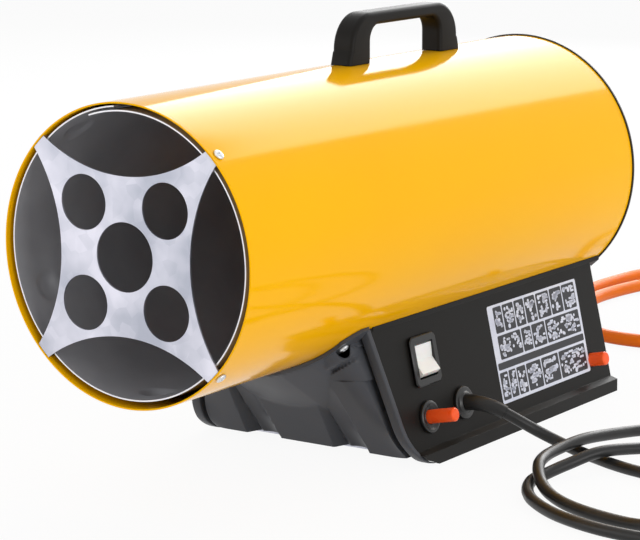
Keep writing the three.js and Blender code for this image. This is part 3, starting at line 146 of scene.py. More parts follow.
# Hot-dip galvanised sheet: pale, a little blue, clouded in soft patches with only a hint of spangle, 9 mm.
galvanised, tree, shader = finish("galvanised_steel", "galvanised_steel", "#D9DBE0", 0.4, 1.0)
place = add(tree, "ShaderNodeTexCoord").outputs["Object"]
spangle = add(tree, "ShaderNodeTexVoronoi", {"feature": "F1"}, Vector=place, Scale=1000 / 9)
shade = add(tree, "ShaderNodeSeparateColor", Color=spangle.outputs["Color"])
cloud = add(tree, "ShaderNodeTexNoise", Vector=place, Scale=1000 / 45, Detail=3.0)
mixed = add(tree, "ShaderNodeMath", {"operation": "MULTIPLY_ADD"}, _0=shade.outputs[0], _1=0.1,
            _2=cloud.outputs["Fac"])
share = add(tree, "ShaderNodeMapRange", _0=mixed.outputs[0], _1=0.38, _2=0.72)
tone = add(tree, "ShaderNodeMix", {"data_type": "RGBA"}, _0=share.outputs["Result"],
           _6=linear("#A9ACB8"), _7=linear("#D6D5DF"))
tree.links.new(tone.outputs[2], shader.inputs["Base Color"])
level = add(tree, "ShaderNodeMapRange", _0=mixed.outputs[0], _1=0.38, _2=0.72, _3=0.44, _4=0.54)
tree.links.new(level.outputs["Result"], shader.inputs["Roughness"])

# Rolled mild steel darkened by the flame, with oxide in soft blotches; its grey is drawn much lighter than
# that oxide, as painted light in the shaded inside of the chamber.
heated_steel_painted_light, tree, shader = finish("heated_steel", "heated_steel", "#A2A2A6", 0.36)
grain(tree, shader, 3.0, 0.006, (0.3, 0.42), ("#949498", "#A2A2A6"), patch=45)

# Injection moulded ABS, warm black: spark-eroded grain of 0.3 mm drawn at 0.9 mm so that it shows.
black_abs, tree, shader = finish("moulded_black_abs", "black_plastic", "#171513", 0.45,
                                 Specular_IOR_Level=0.12)
grain(tree, shader, 0.9, 0.02, (0.4, 0.5), ("#12110F", "#181614"), patch=70, edge=0.9)

# Turned nylon fittings on the panel: blacker and a little glossier than the housing.
black_nylon, tree, shader = finish("black_nylon", "black_plastic", "#0F0F0F", 0.34)
grain(tree, shader, 1.2, 0.006, (0.3, 0.38), ("#0A0A0A", "#101010"), patch=20, edge=0.4)

# Injection moulded polypropylene, bluish dark grey with a softer sheen.
grey_pp, tree, shader = finish("moulded_grey_pp", "grey_plastic", "#424246", 0.42, Specular_IOR_Level=0.15)
grain(tree, shader, 1.0, 0.012, (0.36, 0.46), ("#45474C", "#4C4E54"), patch=60, edge=0.6)

# Extruded PVC flex: black, slightly waxy.
flex_pvc, tree, shader = finish("flex_black_pvc", "black_rubber", "#1E1E1E", 0.38, Specular_IOR_Level=0.3)
grain(tree, shader, 1.4, 0.02, (0.34, 0.46), ("#1B1B1B", "#242424"), patch=18)

# Extruded gas hose: orange rubber, its talc wiped off unevenly.
hose_rubber, tree, shader = finish("orange_hose_rubber", "orange_rubber", "#EE7414", 0.42,
                                   Specular_IOR_Level=0.15)
grain(tree, shader, 1.6, 0.02, (0.36, 0.5), ("#EA6E0E", "#F07A18"), patch=25)

# Opal polycarbonate rocker: glossy white with a little light in its depth.
opal, tree, shader = finish("opal_polycarbonate", "white_plastic", "#F2F2EF", 0.22, Subsurface_Weight=0.12,
                            Subsurface_Scale=0.003)
grain(tree, shader, 6.0, 0.003, (0.18, 0.26), ("#EFEFEC", "#F5F5F3"), patch=12, edge=0.5)

# Moulded acetal push buttons: orange-red, semi-gloss.
red_acetal, tree, shader = finish("red_acetal", "red_plastic", "#FF5222", 0.3, Specular_IOR_Level=0.2)
grain(tree, shader, 2.5, 0.006, (0.26, 0.34), ("#FF5A22", "#FF642C"), patch=10)

# Bright zinc plating on small steel parts.
zinc, tree, shader = finish("bright_zinc", "zinc_screw", "#D2D4D6", 0.28, 1.0)
grain(tree, shader, 0.9, 0.006, (0.22, 0.36), ("#CBCDD0", "#DEDFE0"), patch=6)

# Die-cast aluminium: grey, faintly sandy.
cast, tree, shader = finish("cast_aluminium", "cast_aluminium", "#A9ACAF", 0.45, 1.0)
grain(tree, shader, 1.2, 0.03, (0.4, 0.52), ("#A0A3A6", "#B2B5B8"), patch=20, edge=0.5)

# Turned brass with fine tool marks and a dulled skin.
brass, tree, shader = finish("turned_brass", "brass", "#C6A04E", 0.32, 1.0)
grain(tree, shader, 0.7, 0.008, (0.28, 0.42), ("#B8923F", "#CFAB5B"), patch=8, edge=0.3)

# Drawn copper pipe, browned.
copper, tree, shader = finish("drawn_copper", "copper", "#B87350", 0.34, 1.0)
grain(tree, shader, 1.0, 0.008, (0.3, 0.44), ("#A5623F", "#C08060"), patch=12)

# Glazed alumina insulator.
ceramic, tree, shader = finish("glazed_alumina", "ceramic", "#ECE7DC", 0.25)
grain(tree, shader, 2.0, 0.006, (0.2, 0.35), ("#E6E0D2", "#F2EEE6"), patch=8)

# Satin black stoving enamel on the motor.
motor_enamel, tree, shader = finish("satin_black_enamel", "motor_enamel", "#1F1F1F", 0.4)
grain(tree, shader, 1.6, 0.01, (0.36, 0.46), ("#1B1B1B", "#272727"), patch=40, edge=0.5)

# Sheared edges of the zinc-coated sheet: bare steel, drawn near white as a painted highlight, a thin bright
# line round the stamped sheet.
bare_edge_and_highlight, tree, shader = finish("bare_edge_and_painted_highlight", "galvanised_steel", "#F4F4FA", 0.5, 0.3)
grain(tree, shader, 0.8, 0.004, (0.45, 0.55), ("#EEEEF6", "#FAFAFC"), patch=10)

# Label film: brushed silver polyester, cool and even.
silver_film, tree, shader = finish("silver_label_film", "galvanised_steel", "#D4D8E6", 0.42, 0.1)
grain(tree, shader, 1.4, 0.004, (0.38, 0.48), ("#CCD0E0", "#DCDFEA"), patch=18)

# Screen ink on the label: near black, flat.
label_ink, tree, shader = finish("black_screen_ink", "black_plastic", "#1C1D22", 0.5)
grain(tree, shader, 1.0, 0.002, (0.45, 0.55), ("#191A1F", "#23242A"), patch=14)

# ---------------------------------------------------------------- cords
MAINS_DIAMETER = 8.8
HOSE_DIAMETER = 12
MAINS_ROUTE = [
    (124, -74.5, 29.5), (133, -69, 23.5), (144, -61, 15.5), (159, -56, 8.4), (177, -59.5, 4.9),
    (199, -70, 4.6), (221, -80, 4.6), (245, -87, 4.6), (290, -94, 4.6), (335, -92, 4.6),
    (375, -75, 4.6), (400, -40, 4.6), (401, 0, 4.6), (378, 34, 4.6), (340, 48, 4.6),
    (298, 38, 4.6), (262, 8, 6.5), (229, -44, 11), (211, -84, 14.2), (198, -112, 9),
    (191.5, -132, 5.4), (190.5, -150, 4.6), (202, -176, 4.6), (222, -199, 4.6), (255, -220, 4.6),
    (300, -232, 4.6), (350, -228, 4.6), (402, -200, 4.6), (436, -150, 4.6), (446, -90, 4.6),
    (440, -25, 4.6), (418, 38, 4.6), (375, 80, 4.6), (318, 94, 4.6), (262, 84, 5),
    (222, 54, 6), (197, 10, 8.5), (187, -30, 12), (182.5, -62, 14.4), (180.5, -95, 14),
    (184.5, -122, 14.6), (193, -145, 14.2), (207, -165, 8.8), (227, -182, 5.3), (257, -198, 4.6),
    (300, -210.5, 5.5), (330, -219, 11), (353, -229, 15.5), (370, -240.5, 17.8), (381.5, -256, 18.8),
    (388, -275, 18.8),
]
HOSE_ROUTE = [
    (8, 190.3, 42), (8, 206, 42), (4, 230, 37), (-8, 258, 28), (-29, 290, 16),
    (-53, 328, 8.2), (-76, 372, 6.2), (-94, 420, 6.2), (-104, 475, 6.2), (-104, 530, 6.2),
    (-98, 578, 6.2), (-84, 622, 6.2), (-52, 660, 6.2), (-5, 676, 6.2), (45, 668, 6.2),
    (86, 640, 6.2), (110, 598, 6.2), (122, 548, 6.2), (127, 490, 6.2), (126, 430, 6.2),
    (119, 372, 6.2), (98, 328, 6.2), (62, 303, 6.2), (28, 298, 6.2), (0, 304, 6.2),
    (-27, 322, 6.2), (-50, 350, 6.2), (-67, 386, 6.2), (-77, 425, 6.2), (-81, 457, 6.2),
    (-78, 500, 6.2), (-69, 542, 6.2), (-52, 580, 6.2), (-22, 606, 6.2), (14, 610, 6.2),
    (47, 592, 6.2), (68, 560, 6.8), (74, 528, 10), (75, 498, 14), (75, 476, 14),
]


def tube(name, route, diameter, material):
    """A round tube along a smooth curve through the route's points, its ends straight on."""
    points = [Vector(p) * MM for p in route]
    padded = [2 * points[0] - points[1], *points, 2 * points[-1] - points[-2]]
    data = bpy.data.curves.new(name, "CURVE")
    data.dimensions = "3D"
    data.resolution_u = 6
    data.bevel_depth = diameter / 2 * MM
    data.bevel_resolution = 5
    data.use_fill_caps = True
    spline = data.splines.new("BEZIER")
    spline.bezier_points.add(len(points) - 1)
    for i, knot in enumerate(spline.bezier_points):
        reach = (padded[i + 2] - padded[i]) / 6
        knot.co = points[i]
        knot.handle_left_type = knot.handle_right_type = "FREE"
        knot.handle_left = points[i] - reach
        knot.handle_right = points[i] + reach
    data.materials.append(material)
    made = bpy.data.objects.new(name, data)
    bpy.context.scene.collection.objects.link(made)
    return made


mains_flex = tube("mains_flex", MAINS_ROUTE, MAINS_DIAMETER, flex_pvc)
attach(mains_flex, "heater")
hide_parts("mains_cable")

hose = tube("gas_hose_tube", HOSE_ROUTE, HOSE_DIAMETER, hose_rubber)
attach(hose, "heater")
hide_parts("gas_hose")


# ---------------------------------------------------------------- shapes
def turn(count, start=0.0):
    """Evenly spaced angles round a full circle."""
    return [start + 2 * math.pi * i / count for i in range(count)]


def skin(rows, around=True, closed=False, capped=False):
    """Points and quads over rows: around joins a row's ends, closed the last row to the first."""
    width = len(rows[0])
    faces = []
    for i in range(len(rows) - (0 if closed else 1)):
        for j in range(width - (0 if around else 1)):
            k = (i + 1) % len(rows)
            m = (j + 1) % width
            faces.append((i * width + j, i * width + m, k * width + m, k * width + j))
    if capped:
        faces.append(tuple(range(width)))
        faces.append(tuple(len(rows) * width - 1 - j for j in range(width)))
    return [p for row in rows for p in row], faces


def turned(profile, facets=64, closed=False):
    """A profile of (radius, height) turned about local Z; a closed profile makes a ring."""
    rows = [[(r * math.cos(t), r * math.sin(t), z) for t in turn(facets)] for r, z in profile]
    return skin(rows, closed=closed)


def rod(radius, low, high, facets=32, centre=(0, 0)):
    """A closed cylinder along local Z."""
    circle = [(centre[0] + radius * math.cos(t), centre[1] + radius * math.sin(t)) for t in turn(facets)]
    return skin([[(x, y, z) for x, y in circle] for z in (low, high)], capped=True)


def block(low, high):
    """A closed box between two corners."""
    (a, b, c), (d, e, f) = low, high
    return skin([[(a, b, z), (d, b, z), (d, e, z), (a, e, z)] for z in (c, f)], capped=True)


def placed(origin, outward, up=(0, 0, 1)):
    """A frame in mm whose local Z points outward and whose local Y is as near up as it can be."""
    z = Vector(outward).normalized()
    x = Vector(up).cross(z).normalized()
    y = z.cross(x)
    return Matrix.Translation(origin) @ Matrix((x, y, z)).transposed().to_4x4()


def shape(name, parts, crisp=32):
    """An object from parts of (points, faces, place), smooth but for edges sharper than crisp degrees."""
    build = bmesh.new()
    for points, faces, place in parts:
        made = [build.verts.new(place @ Vector(p) * MM) for p in points]
        for face in faces:
            build.faces.new([made[i] for i in face])
    bmesh.ops.remove_doubles(build, verts=build.verts, dist=0.002 * MM)
    bmesh.ops.recalc_face_normals(build, faces=build.faces)
    data = bpy.data.meshes.new(name)
    build.to_mesh(data)
    build.free()
    made = bpy.data.objects.new(name, data)
    bpy.context.scene.collection.objects.link(made)
    smooth(data, crisp)
    return made


def smooth(data, crisp):
    """Smooth shading that keeps the edges sharper than crisp degrees."""
    data.polygons.foreach_set("use_smooth", [True] * len(data.polygons))
    data.set_sharp_from_angle(angle=math.radians(crisp))


def carve(solid, tools, operation="DIFFERENCE", crisp=32):
    """Cuts closed tools from a solid, or joins them to it, and drops them."""
    for tool in tools:
        step = solid.modifiers.new("step", "BOOLEAN")
        step.operation = operation
        step.solver = "MANIFOLD"
        step.object = tool
    result = solid.evaluated_get(bpy.context.evaluated_depsgraph_get())
    solid.data = bpy.data.meshes.new_from_object(result)
    solid.modifiers.clear()
    for tool in tools:
        bpy.data.objects.remove(tool)
    smooth(solid.data, crisp)
    return solid


def dress(made, material, stands_for=(), body="heater", edge_tone_and_highlight=None):
    """Gives a shape its material, in place of its CAD nodes, on a body."""
    made.data.materials.clear()
    made.data.materials.append(material)
    # The second material is the near-white edge tone: bare cut steel with a painted highlight.
    if edge_tone_and_highlight:
        made.data.materials.append(edge_tone_and_highlight)
    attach(made, body)
    if stands_for:
        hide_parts(*stands_for)
    return made


HERE = Matrix.Identity(4)
BARREL = placed((0, 0, AXIS_HEIGHT), (0, 1, 0))  # local Z runs back along the casing axis


def on_casing(angle, y, reach=0.0):
    """A frame on the casing axis whose Z points out at an angle, seen from the front, from +X."""
    outward = Vector((math.cos(angle), 0, math.sin(angle)))
    return placed(Vector((0, y, AXIS_HEIGHT)) + outward * reach, outward, (0, 1, 0))


def on_panel(along, height):
    """A frame on the control panel, Z outwards and Y up along it."""
    up = (height - LEDGE) / math.cos(PANEL_TILT)
    origin = (PANEL_FOOT - up * math.sin(PANEL_TILT), along, LEDGE + up * math.cos(PANEL_TILT))
    return placed(origin, (math.cos(PANEL_TILT), 0, math.sin(PANEL_TILT)))


def screw_bore(angle, y, top=112):
    """A tool that bores a screw's hole through whatever lies on the casing's wall."""
    return (*rod(SCREW_SHANK + FIT, 98, top, 20), on_casing(angle, y))


def arc(centre, radius, start, end, steps=10):
    """Points along an arc, angles in degrees."""
    turns = [math.radians(start + (end - start) * i / steps) for i in range(steps + 1)]
    return [(centre[0] + radius * math.cos(t), centre[1] + radius * math.sin(t)) for t in turns]


def ease(value, low, high):
    """0 below low, 1 above high, smooth between."""
    share = max(0, min(1, (value - low) / (high - low)))
    return share * share * (3 - 2 * share)


# ---------------------------------------------------------------- casing and screws
TAB_ANGLES = [math.radians(a) for a in (45, 135, 225, 315)]
TAB_Y = CASING_FRONT + 7
HANDLE_Y = CASING_FRONT + 338
HANDLE_SCREW_Y = [HANDLE_Y - 62.5, HANDLE_Y + 62.5]
SHELL_ANGLES = [math.radians(a) for a in (-51, -129)]
SHELL_SCREW_Y = BASE_FRONT - 63.5
REAR_ANGLES = [math.radians(a) for a in (-49.5, -130.5)]
REAR_SCREW_Y = CASING_REAR - 10.5
PASSAGE = ((-14, -46, 60), (14, -8, 95))  # slot under the casing for the pipe and the wires
EDGE = 0.2  # broken edge of the rolled sheet

SCREWS = [(a, TAB_Y) for a in TAB_ANGLES] + [(math.pi / 2, y) for y in HANDLE_SCREW_Y]
SCREWS += [(a, SHELL_SCREW_Y) for a in SHELL_ANGLES] + [(a, REAR_SCREW_Y) for a in REAR_ANGLES]

casing_profile = [(CASING_BORE, CASING_FRONT + EDGE), (CASING_BORE + EDGE, CASING_FRONT),
                  (CASING_RADIUS - EDGE, CASING_FRONT), (CASING_RADIUS, CASING_FRONT + EDGE),
                  (CASING_RADIUS, -200), (CASING_RADIUS, CASING_REAR), (CASING_BORE, CASING_REAR)]
casing = shape("casing_tube", [(*turned(casing_profile, 256, closed=True), BARREL)])
holes = shape("casing_holes", [screw_bore(a, y) for a, y in SCREWS] + [(*block(*PASSAGE), HERE)])
dress(carve(casing, [holes]), enamel, ["outer_casing"])


def screw_parts(seat, tip, place, head=3.8, rise=2.2):
    """A pan head with a cross recess on its shank, along a frame's Z."""
    sides = [(SCREW_SHANK, tip), (SCREW_SHANK, seat), (head, seat), (head, seat + rise * 0.35)]
    rows = [[(r * math.cos(t), r * math.sin(t), z) for t in turn(48)] for r, z in sides]
    for share in [1 - i / 14 for i in range(15)]:
        row = []
        for t in turn(48):
            x = head * share * math.cos(t)
            y = head * share * math.sin(t)
            height = seat + rise * (0.35 + 0.65 * math.sqrt(max(0, 1 - (share * 0.98) ** 2)))
            in_arm = max(0, min(1, (0.62 - min(abs(x), abs(y))) / 0.2))
            in_reach = max(0, min(1, (0.62 - share) / 0.12))
            row.append((x, y, height - 1.1 * in_arm * in_reach))
        rows.append(row)
    return (*skin(rows, capped=True), place)


def screws(label, spots, seat, tip):
    """One screw piece for each CAD screw of a set."""
    for i, (angle, y) in enumerate(spots):
        parts = [screw_parts(seat, tip, on_casing(angle, y))]
        dress(shape(f"{label}_head_{i + 1}", parts, crisp=50), zinc, [f"{label}_{i + 1}"])


screws("baffle_screw", [(a, TAB_Y) for a in TAB_ANGLES], CASING_RADIUS + FIT, 101.1)
screws("shell_screw", [(a, SHELL_SCREW_Y) for a in SHELL_ANGLES], SADDLE + 2.8, CASING_BORE - 4)
screws("housing_screw", [(a, REAR_SCREW_Y) for a in REAR_ANGLES], SADDLE + 2.8, CASING_BORE - 4)

# ---------------------------------------------------------------- chamber: a rolled, lapped sheet
LAP_FROM = 108  # degrees at which the sheet starts
LAP_TURN = 373  # degrees that it runs, past its own start
LAP_RISE = 3  # how far its end stands off
CHAMBER_WALL = 1
NECK = 6  # the rear end is drawn in
NECK_LENGTH = 12
DENT_RISE = 4.0
DENT_RADIUS = 13.5
DENT_FLANK = 10.5
DENT_Y = CHAMBER_FRONT + 27
DENT_ANGLES = [-88 + 72 * i for i in range(5)]
CHAMBER_Y = [CHAMBER_FRONT, CHAMBER_FRONT + 0.3, CHAMBER_FRONT + 6]
CHAMBER_Y += [DENT_Y - 15 + i for i in range(31)]
CHAMBER_Y += [-300, -200, CHAMBER_REAR - NECK_LENGTH, CHAMBER_REAR]


def chamber_radius(angle, y):
    """Outer radius of the chamber sheet at an angle in degrees, which runs down from the lap."""
    spread = LAP_RISE * max(0, (-160 - angle) / 105)
    rise = 0
    for dent in DENT_ANGLES:
        off = (angle - dent + 180) % 360 - 180
        away = math.hypot(math.radians(off) * CHAMBER_RADIUS, y - DENT_Y)
        share = max(0, min(1, (DENT_RADIUS - away) / DENT_FLANK))
        rise = max(rise, DENT_RISE * share * share * (3 - 2 * share))
    necked = NECK * max(0, (y - CHAMBER_REAR + NECK_LENGTH) / NECK_LENGTH)
    return min(CHAMBER_RADIUS + spread + rise, CASING_BORE - 0.35) - necked


sheet_rows = []
for i in range(321):
    angle = LAP_FROM - LAP_TURN * i / 320
    across = math.cos(math.radians(angle))
    up = math.sin(math.radians(angle))
    outer = [(chamber_radius(angle, y), y) for y in CHAMBER_Y]
    ring = outer + [(r - CHAMBER_WALL, y) for r, y in reversed(outer)]
    sheet_rows.append([(r * across, y, AXIS_HEIGHT + r * up) for r, y in ring])
chamber = dress(shape("chamber_sheet", [(*skin(sheet_rows, capped=True), HERE)], crisp=40), heated_steel_painted_light,
                ["combustion_chamber"], edge_tone_and_highlight=bare_edge_and_highlight)
# The chamber sheet's front edge takes the near-white edge tone: bare cut steel with a painted highlight.
for face in chamber.data.polygons:
    if face.center.y < (CHAMBER_FRONT + 0.05) * MM:
        face.material_index = 1

# ---------------------------------------------------------------- baffle: stamped plate with four bent tabs
BAFFLE_SHEET = 1.4
TIP_REACH = 103.1
TIP_HALF = 6
WAIST = 55
CENTRE_HOLE = 24
CORNER_HOLE = 19.2
HOLE_OFFSET = 34.7
TAB_LENGTH = 13
TAB_INSIDE = 102.1
TAB_OUTSIDE = 103.45
tip_u = (TIP_REACH + TIP_HALF) * math.sqrt(0.5)
tip_v = (TIP_REACH - TIP_HALF) * math.sqrt(0.5)
side_centre = (tip_u**2 + tip_v**2 - WAIST**2) / (2 * (tip_u - WAIST))
side_radius = side_centre - WAIST
side_half = math.asin(tip_v / side_radius)
baffle_outline = []
for side in range(4):
    facing = side * math.pi / 2
    for i in range(49):
        t = facing + math.pi + side_half * (1 - i / 24)
        baffle_outline.append((side_centre * math.cos(facing) + side_radius * math.cos(t),
                               side_centre * math.sin(facing) + side_radius * math.sin(t)))
baffle_y = CASING_FRONT + 0.4
faces = [[(u, v, y) for u, v in baffle_outline] for y in (baffle_y, baffle_y + BAFFLE_SHEET)]
baffle = shape("baffle_star", [(*skin(faces, capped=True), BARREL)])
spots = [(0, 0, CENTRE_HOLE)]
spots += [(u * HOLE_OFFSET, v * HOLE_OFFSET, CORNER_HOLE) for u in (-1, 1) for v in (-1, 1)]
cuts = shape("baffle_holes", [(*rod(r, baffle_y - 2, baffle_y + 4, 96, (u, v)), BARREL)
                              for u, v, r in spots])
carve(baffle, [cuts])
tab_front = baffle_y + 0.1
tab_rear = baffle_y + TAB_LENGTH
tab_section = [(TAB_INSIDE, tab_front), (TAB_OUTSIDE, tab_front), (TAB_OUTSIDE, tab_rear),
               (TAB_INSIDE, tab_rear)]
tabs = []
for middle in TAB_ANGLES:
    rows = []
    for i in range(9):
        t = middle + (i / 4 - 1) * TIP_HALF / 103
        rows.append([(r * math.cos(t), y, AXIS_HEIGHT + r * math.sin(t)) for r, y in tab_section])
    tabs.append((*skin(rows, capped=True), HERE))
tab_holes = shape("tab_holes", [screw_bore(a, TAB_Y, top=106) for a in TAB_ANGLES])
carve(baffle, [shape("tabs", tabs)], "UNION")
carve(baffle, [tab_holes])
# A narrow bevel round the baffle's sharp edges carries the near-white edge tone: bare cut steel with a
# painted highlight.
edge = baffle.modifiers.new("bare_edge_highlight_bevel", "BEVEL")
edge.width = 0.6 * MM
edge.limit_method = "ANGLE"
edge.angle_limit = math.radians(60)
edge.segments = 1
edge.material = 1
dress(baffle, galvanised, ["baffle_plate"], edge_tone_and_highlight=bare_edge_and_highlight)

# ---------------------------------------------------------------- moulded front shell
SHELL_WALL = 3
SHELL_BOTTOM = 6
SHELL_FOOT = 11
SHELL_LEAN = 0.705
GROOVE_AT = 40
GROOVE_HALF = 16
GROOVE_DEEP = 14
GROOVE_TOP = 64
LEDGE_LINE = 11.5  # step in the moulding, below the casing
LEDGE_DEEP = 3.5
RIM_TOP = 49.3
RIM_LEAN = math.tan(math.radians(15))
RIM_ROUND = 34
RIM_BAND = 8
RIM_HEIGHT = AXIS_HEIGHT - CASING_RADIUS * 0.7
LIP_SPAN = 70
LIP_CORNER = BASE_FRONT - 72.5
LIP_BAND = 2.5
LIP_REAR = -191.8
CHANNEL_TOP = 70
BURIED = 128.5  # height inside the casing at which the uncut shell ends
CREASE = 0.15  # columns stand this close on both sides of a crease
COLUMNS = 84


def rim_y(height):
    """How far forward the rim of the base reaches at a height, curling under at the floor."""
    below = max(0, RIM_ROUND - height)
    curl = RIM_ROUND - math.sqrt(RIM_ROUND**2 - below**2)
    return BASE_FRONT - RIM_TOP + RIM_LEAN * (RIM_HEIGHT - height) + curl


def rim_half(height):
    """Half width of the shell over its rims."""
    return PANEL_FOOT - (max(height, LEDGE) - LEDGE) * math.tan(PANEL_TILT) + 3.2


def lip_y(across):
    """Front edge of the lip along the casing: bowed in the middle, rounded at its corners."""
    if across > LIP_SPAN:
        return LIP_CORNER + 19 * ((across - LIP_SPAN) / 9.5) ** 2
    return LIP_CORNER - 0.42 * min(38, LIP_SPAN - 2 - across)


def channel(height):
    """Width and depth of the side channel and depth of the lobe's rounding into it; slight higher up."""
    return (5, 8, 14) if height < CHANNEL_TOP else (2.5, 6, 24)


def shell_y(x, height):
    """The moulded front: two grooves between three lobes, side channels, a ledge under the casing."""
    rim = rim_y(height)
    across = abs(x)
    inner = rim_half(height) - RIM_BAND
    width, depth, rounding = channel(height)
    lobe_edge = inner - width
    if across > inner:
        from_edge = min(across - inner, inner + RIM_BAND - across)
        return rim + 1.2 * (1 - math.sqrt(1 - max(0, 1 - from_edge / 1.2) ** 2))
    if across > lobe_edge:
        return rim + depth
    plane = BASE_FRONT - SHELL_FOOT - SHELL_LEAN * (height - SHELL_BOTTOM)
    corner = min(1, (lobe_edge - across) / rounding)
    turn_back = 1 - math.sqrt(1 - (1 - corner) ** 2)
    fade = max(0, 1 - height / GROOVE_TOP)
    wide = GROOVE_HALF * (0.45 + 0.55 * fade**0.5)
    in_groove = max(0, 1 - ((across - GROOVE_AT) / wide) ** 2)
    off_wall = abs(x - math.copysign(GROOVE_AT, x) + 0.72 * wide)
    stroke = max(0, 1 - off_wall / (1.6 + 2.4 * fade)) * min(1, 7 * fade) * (abs(x) > 8)
    face = plane + (rim - plane) * turn_back
    face = face + GROOVE_DEEP * fade * in_groove**0.8 + (3 + 3 * fade) * stroke
    gap = math.hypot(x, height - AXIS_HEIGHT) - CASING_RADIUS
    ledge = ease(across, 4, 50)
    above_line = 1 - ease(gap, LEDGE_LINE - 1.5, LEDGE_LINE)
    face -= ledge * LEDGE_DEEP * above_line * (1 - ease(across, lobe_edge - 3, lobe_edge))
    face += ledge * 4 * max(0, 1 - abs(gap - LEDGE_LINE - 0.9) / 1.5)
    lip = lip_y(across) + max(0, gap - 3) * 1.6 + 14 * ease(across, 50, 64)
    return min(face, lip)


def shell_columns(height):
    """Places across the shell at a height, and whether each is on a rim; close together at creases."""
    half = rim_half(height)
    inner = half - RIM_BAND
    lobe_edge = inner - channel(height)[0]
    right = [lobe_edge * i / COLUMNS - CREASE * (i == COLUMNS) for i in range(COLUMNS + 1)]
    right += [lobe_edge + CREASE, inner - CREASE]
    rim = [inner + CREASE, inner + 0.5, inner + 1.2, half - 4, half - 1.2, half - 0.5, half]
    places = [(x, False) for x in right] + [(x, True) for x in rim]
    return [(-x, on_rim) for x, on_rim in reversed(places[1:])] + places


# Shares of the height for the rows; two more rows stand close together where the channels end.
heights = sorted({round(i / 84, 4) for i in range(85)} | {0.5205, 0.5235})
front_rows = []
back_rows = []
for share in heights:
    row = []
    for column, (_, on_rim) in enumerate(shell_columns(SHELL_BOTTOM)):
        foot = 0.4 if on_rim else SHELL_BOTTOM
        height = foot + (BURIED - foot) * share
        x = shell_columns(height)[column][0]
        row.append((x, shell_y(x, height), height))
    front_rows.append(row)
    back_rows.append([(x, y + SHELL_WALL, z) for x, y, z in row])
rings = [front + back[::-1] for front, back in zip(front_rows, back_rows)]
shell = shape("front_moulding", [(*skin(rings, capped=True), HERE)])


def lip_flange(side):
    """The band of the shell that lies on the casing behind the lip."""
    inside = SADDLE - 1
    outside = SADDLE + LIP_BAND
    rows = []
    for i in range(25):
        across = 46 + 33 * i / 24
        t = math.acos(across / 106.5)
        front = lip_y(across)
        section = ((inside, front), (outside, front), (outside, LIP_REAR), (inside, LIP_REAR))
        rows.append([(side * r * math.cos(t), y, AXIS_HEIGHT - r * math.sin(t)) for r, y in section])
    return (*skin(rows, capped=True), HERE)


def casing_space():
    """A tool that clears the casing's outside, with the air between it and what sits on it."""
    return shape("casing_space", [(*rod(SADDLE, CASING_FRONT, CASING_REAR, 192), BARREL)])


carve(shell, [shape("flange_right", [lip_flange(1)]), shape("flange_left", [lip_flange(-1)])], "UNION")
wells = [(*rod(6.5, SADDLE + LIP_BAND, CASING_RADIUS + 30, 48), on_casing(a, SHELL_SCREW_Y))
         for a in SHELL_ANGLES]
carve(shell, [casing_space()], crisp=28)
carve(shell, [shape("screw_wells", wells)], crisp=28)
carve(shell, [shape("screw_bores", [screw_bore(a, SHELL_SCREW_Y) for a in SHELL_ANGLES])], crisp=28)
dress(shell, grey_pp, ["front_shell"])

# ---------------------------------------------------------------- carrying handle
HANDLE_TOP = CASING_RADIUS + 38
HANDLE_HALF_WIDTH = 9.25
HANDLE_SOFT = 3.4  # rounding of its long edges


def handle_outline():
    """Outline of the handle seen from the side: (along, radius)."""
    half = 76
    leg = 27
    bar = 10
    flare = 3
    shoulder = 27
    palm = 12
    sunk = CASING_RADIUS - 12
    right = [(half + flare, sunk), (half + flare, CASING_RADIUS), (half, CASING_RADIUS + 10)]
    right += arc((half - shoulder - 1, HANDLE_TOP - shoulder), shoulder, 0, 90, 16)
    left = [(-u, v) for u, v in reversed(right)]
    hollow = [(-half + leg, sunk)]
    hollow += arc((-half + leg + palm, HANDLE_TOP - bar - palm), palm, 180, 90, 12)
    return right + left + hollow + [(-u, v) for u, v in reversed(hollow)]


def inset(points, amount):
    """A closed outline moved inwards by an amount along its own normals."""
    moved = []
    for i, p in enumerate(points):
        before = Vector(p) - Vector(points[i - 1])
        after = Vector(points[(i + 1) % len(points)]) - Vector(p)
        normals = [Vector((-d.y, d.x)).normalized() for d in (before, after)]
        middle = (normals[0] + normals[1]).normalized()
        moved.append(Vector(p) + middle * amount / max(0.3, middle.dot(normals[0])))
    return moved


grip_outline = handle_outline()
grip_rows = []
for i in range(11):
    t = math.radians(9 * i)
    x = HANDLE_HALF_WIDTH - HANDLE_SOFT + HANDLE_SOFT * math.sin(t)
    edge = inset(grip_outline, HANDLE_SOFT * (1 - math.cos(t)))
    grip_rows += [(x, edge), (-x, edge)]
grip_rows.sort(key=lambda row: row[0])
grip_skin = skin([[(x, HANDLE_Y + p[0], AXIS_HEIGHT + p[1]) for p in edge] for x, edge in grip_rows],
                 capped=True)
grip = shape("handle_grip", [(*grip_skin, HERE)], crisp=40)
carve(grip, [casing_space()], crisp=40)
carve(grip, [shape("grip_bores", [screw_bore(math.pi / 2, y, top=124) for y in HANDLE_SCREW_Y])], crisp=40)
dress(grip, black_abs, ["carrying_handle"])

# ---------------------------------------------------------------- fan, motor, guard and rear trim
FAN_RADIUS = 95
FAN_BLADES = 5
BLADE_FOOT = 17  # the blade starts inside the hub
BLADE_HALF_SHEET = 0.8
BLADE_CHORD = 0.32  # shares of the fan's radius
BLADE_SWELL = 0.36
BLADE_SWEEP = 0.085
BLADE_CAMBER = 0.053
BLADE_PITCH = 44
BLADE_TWIST = 20


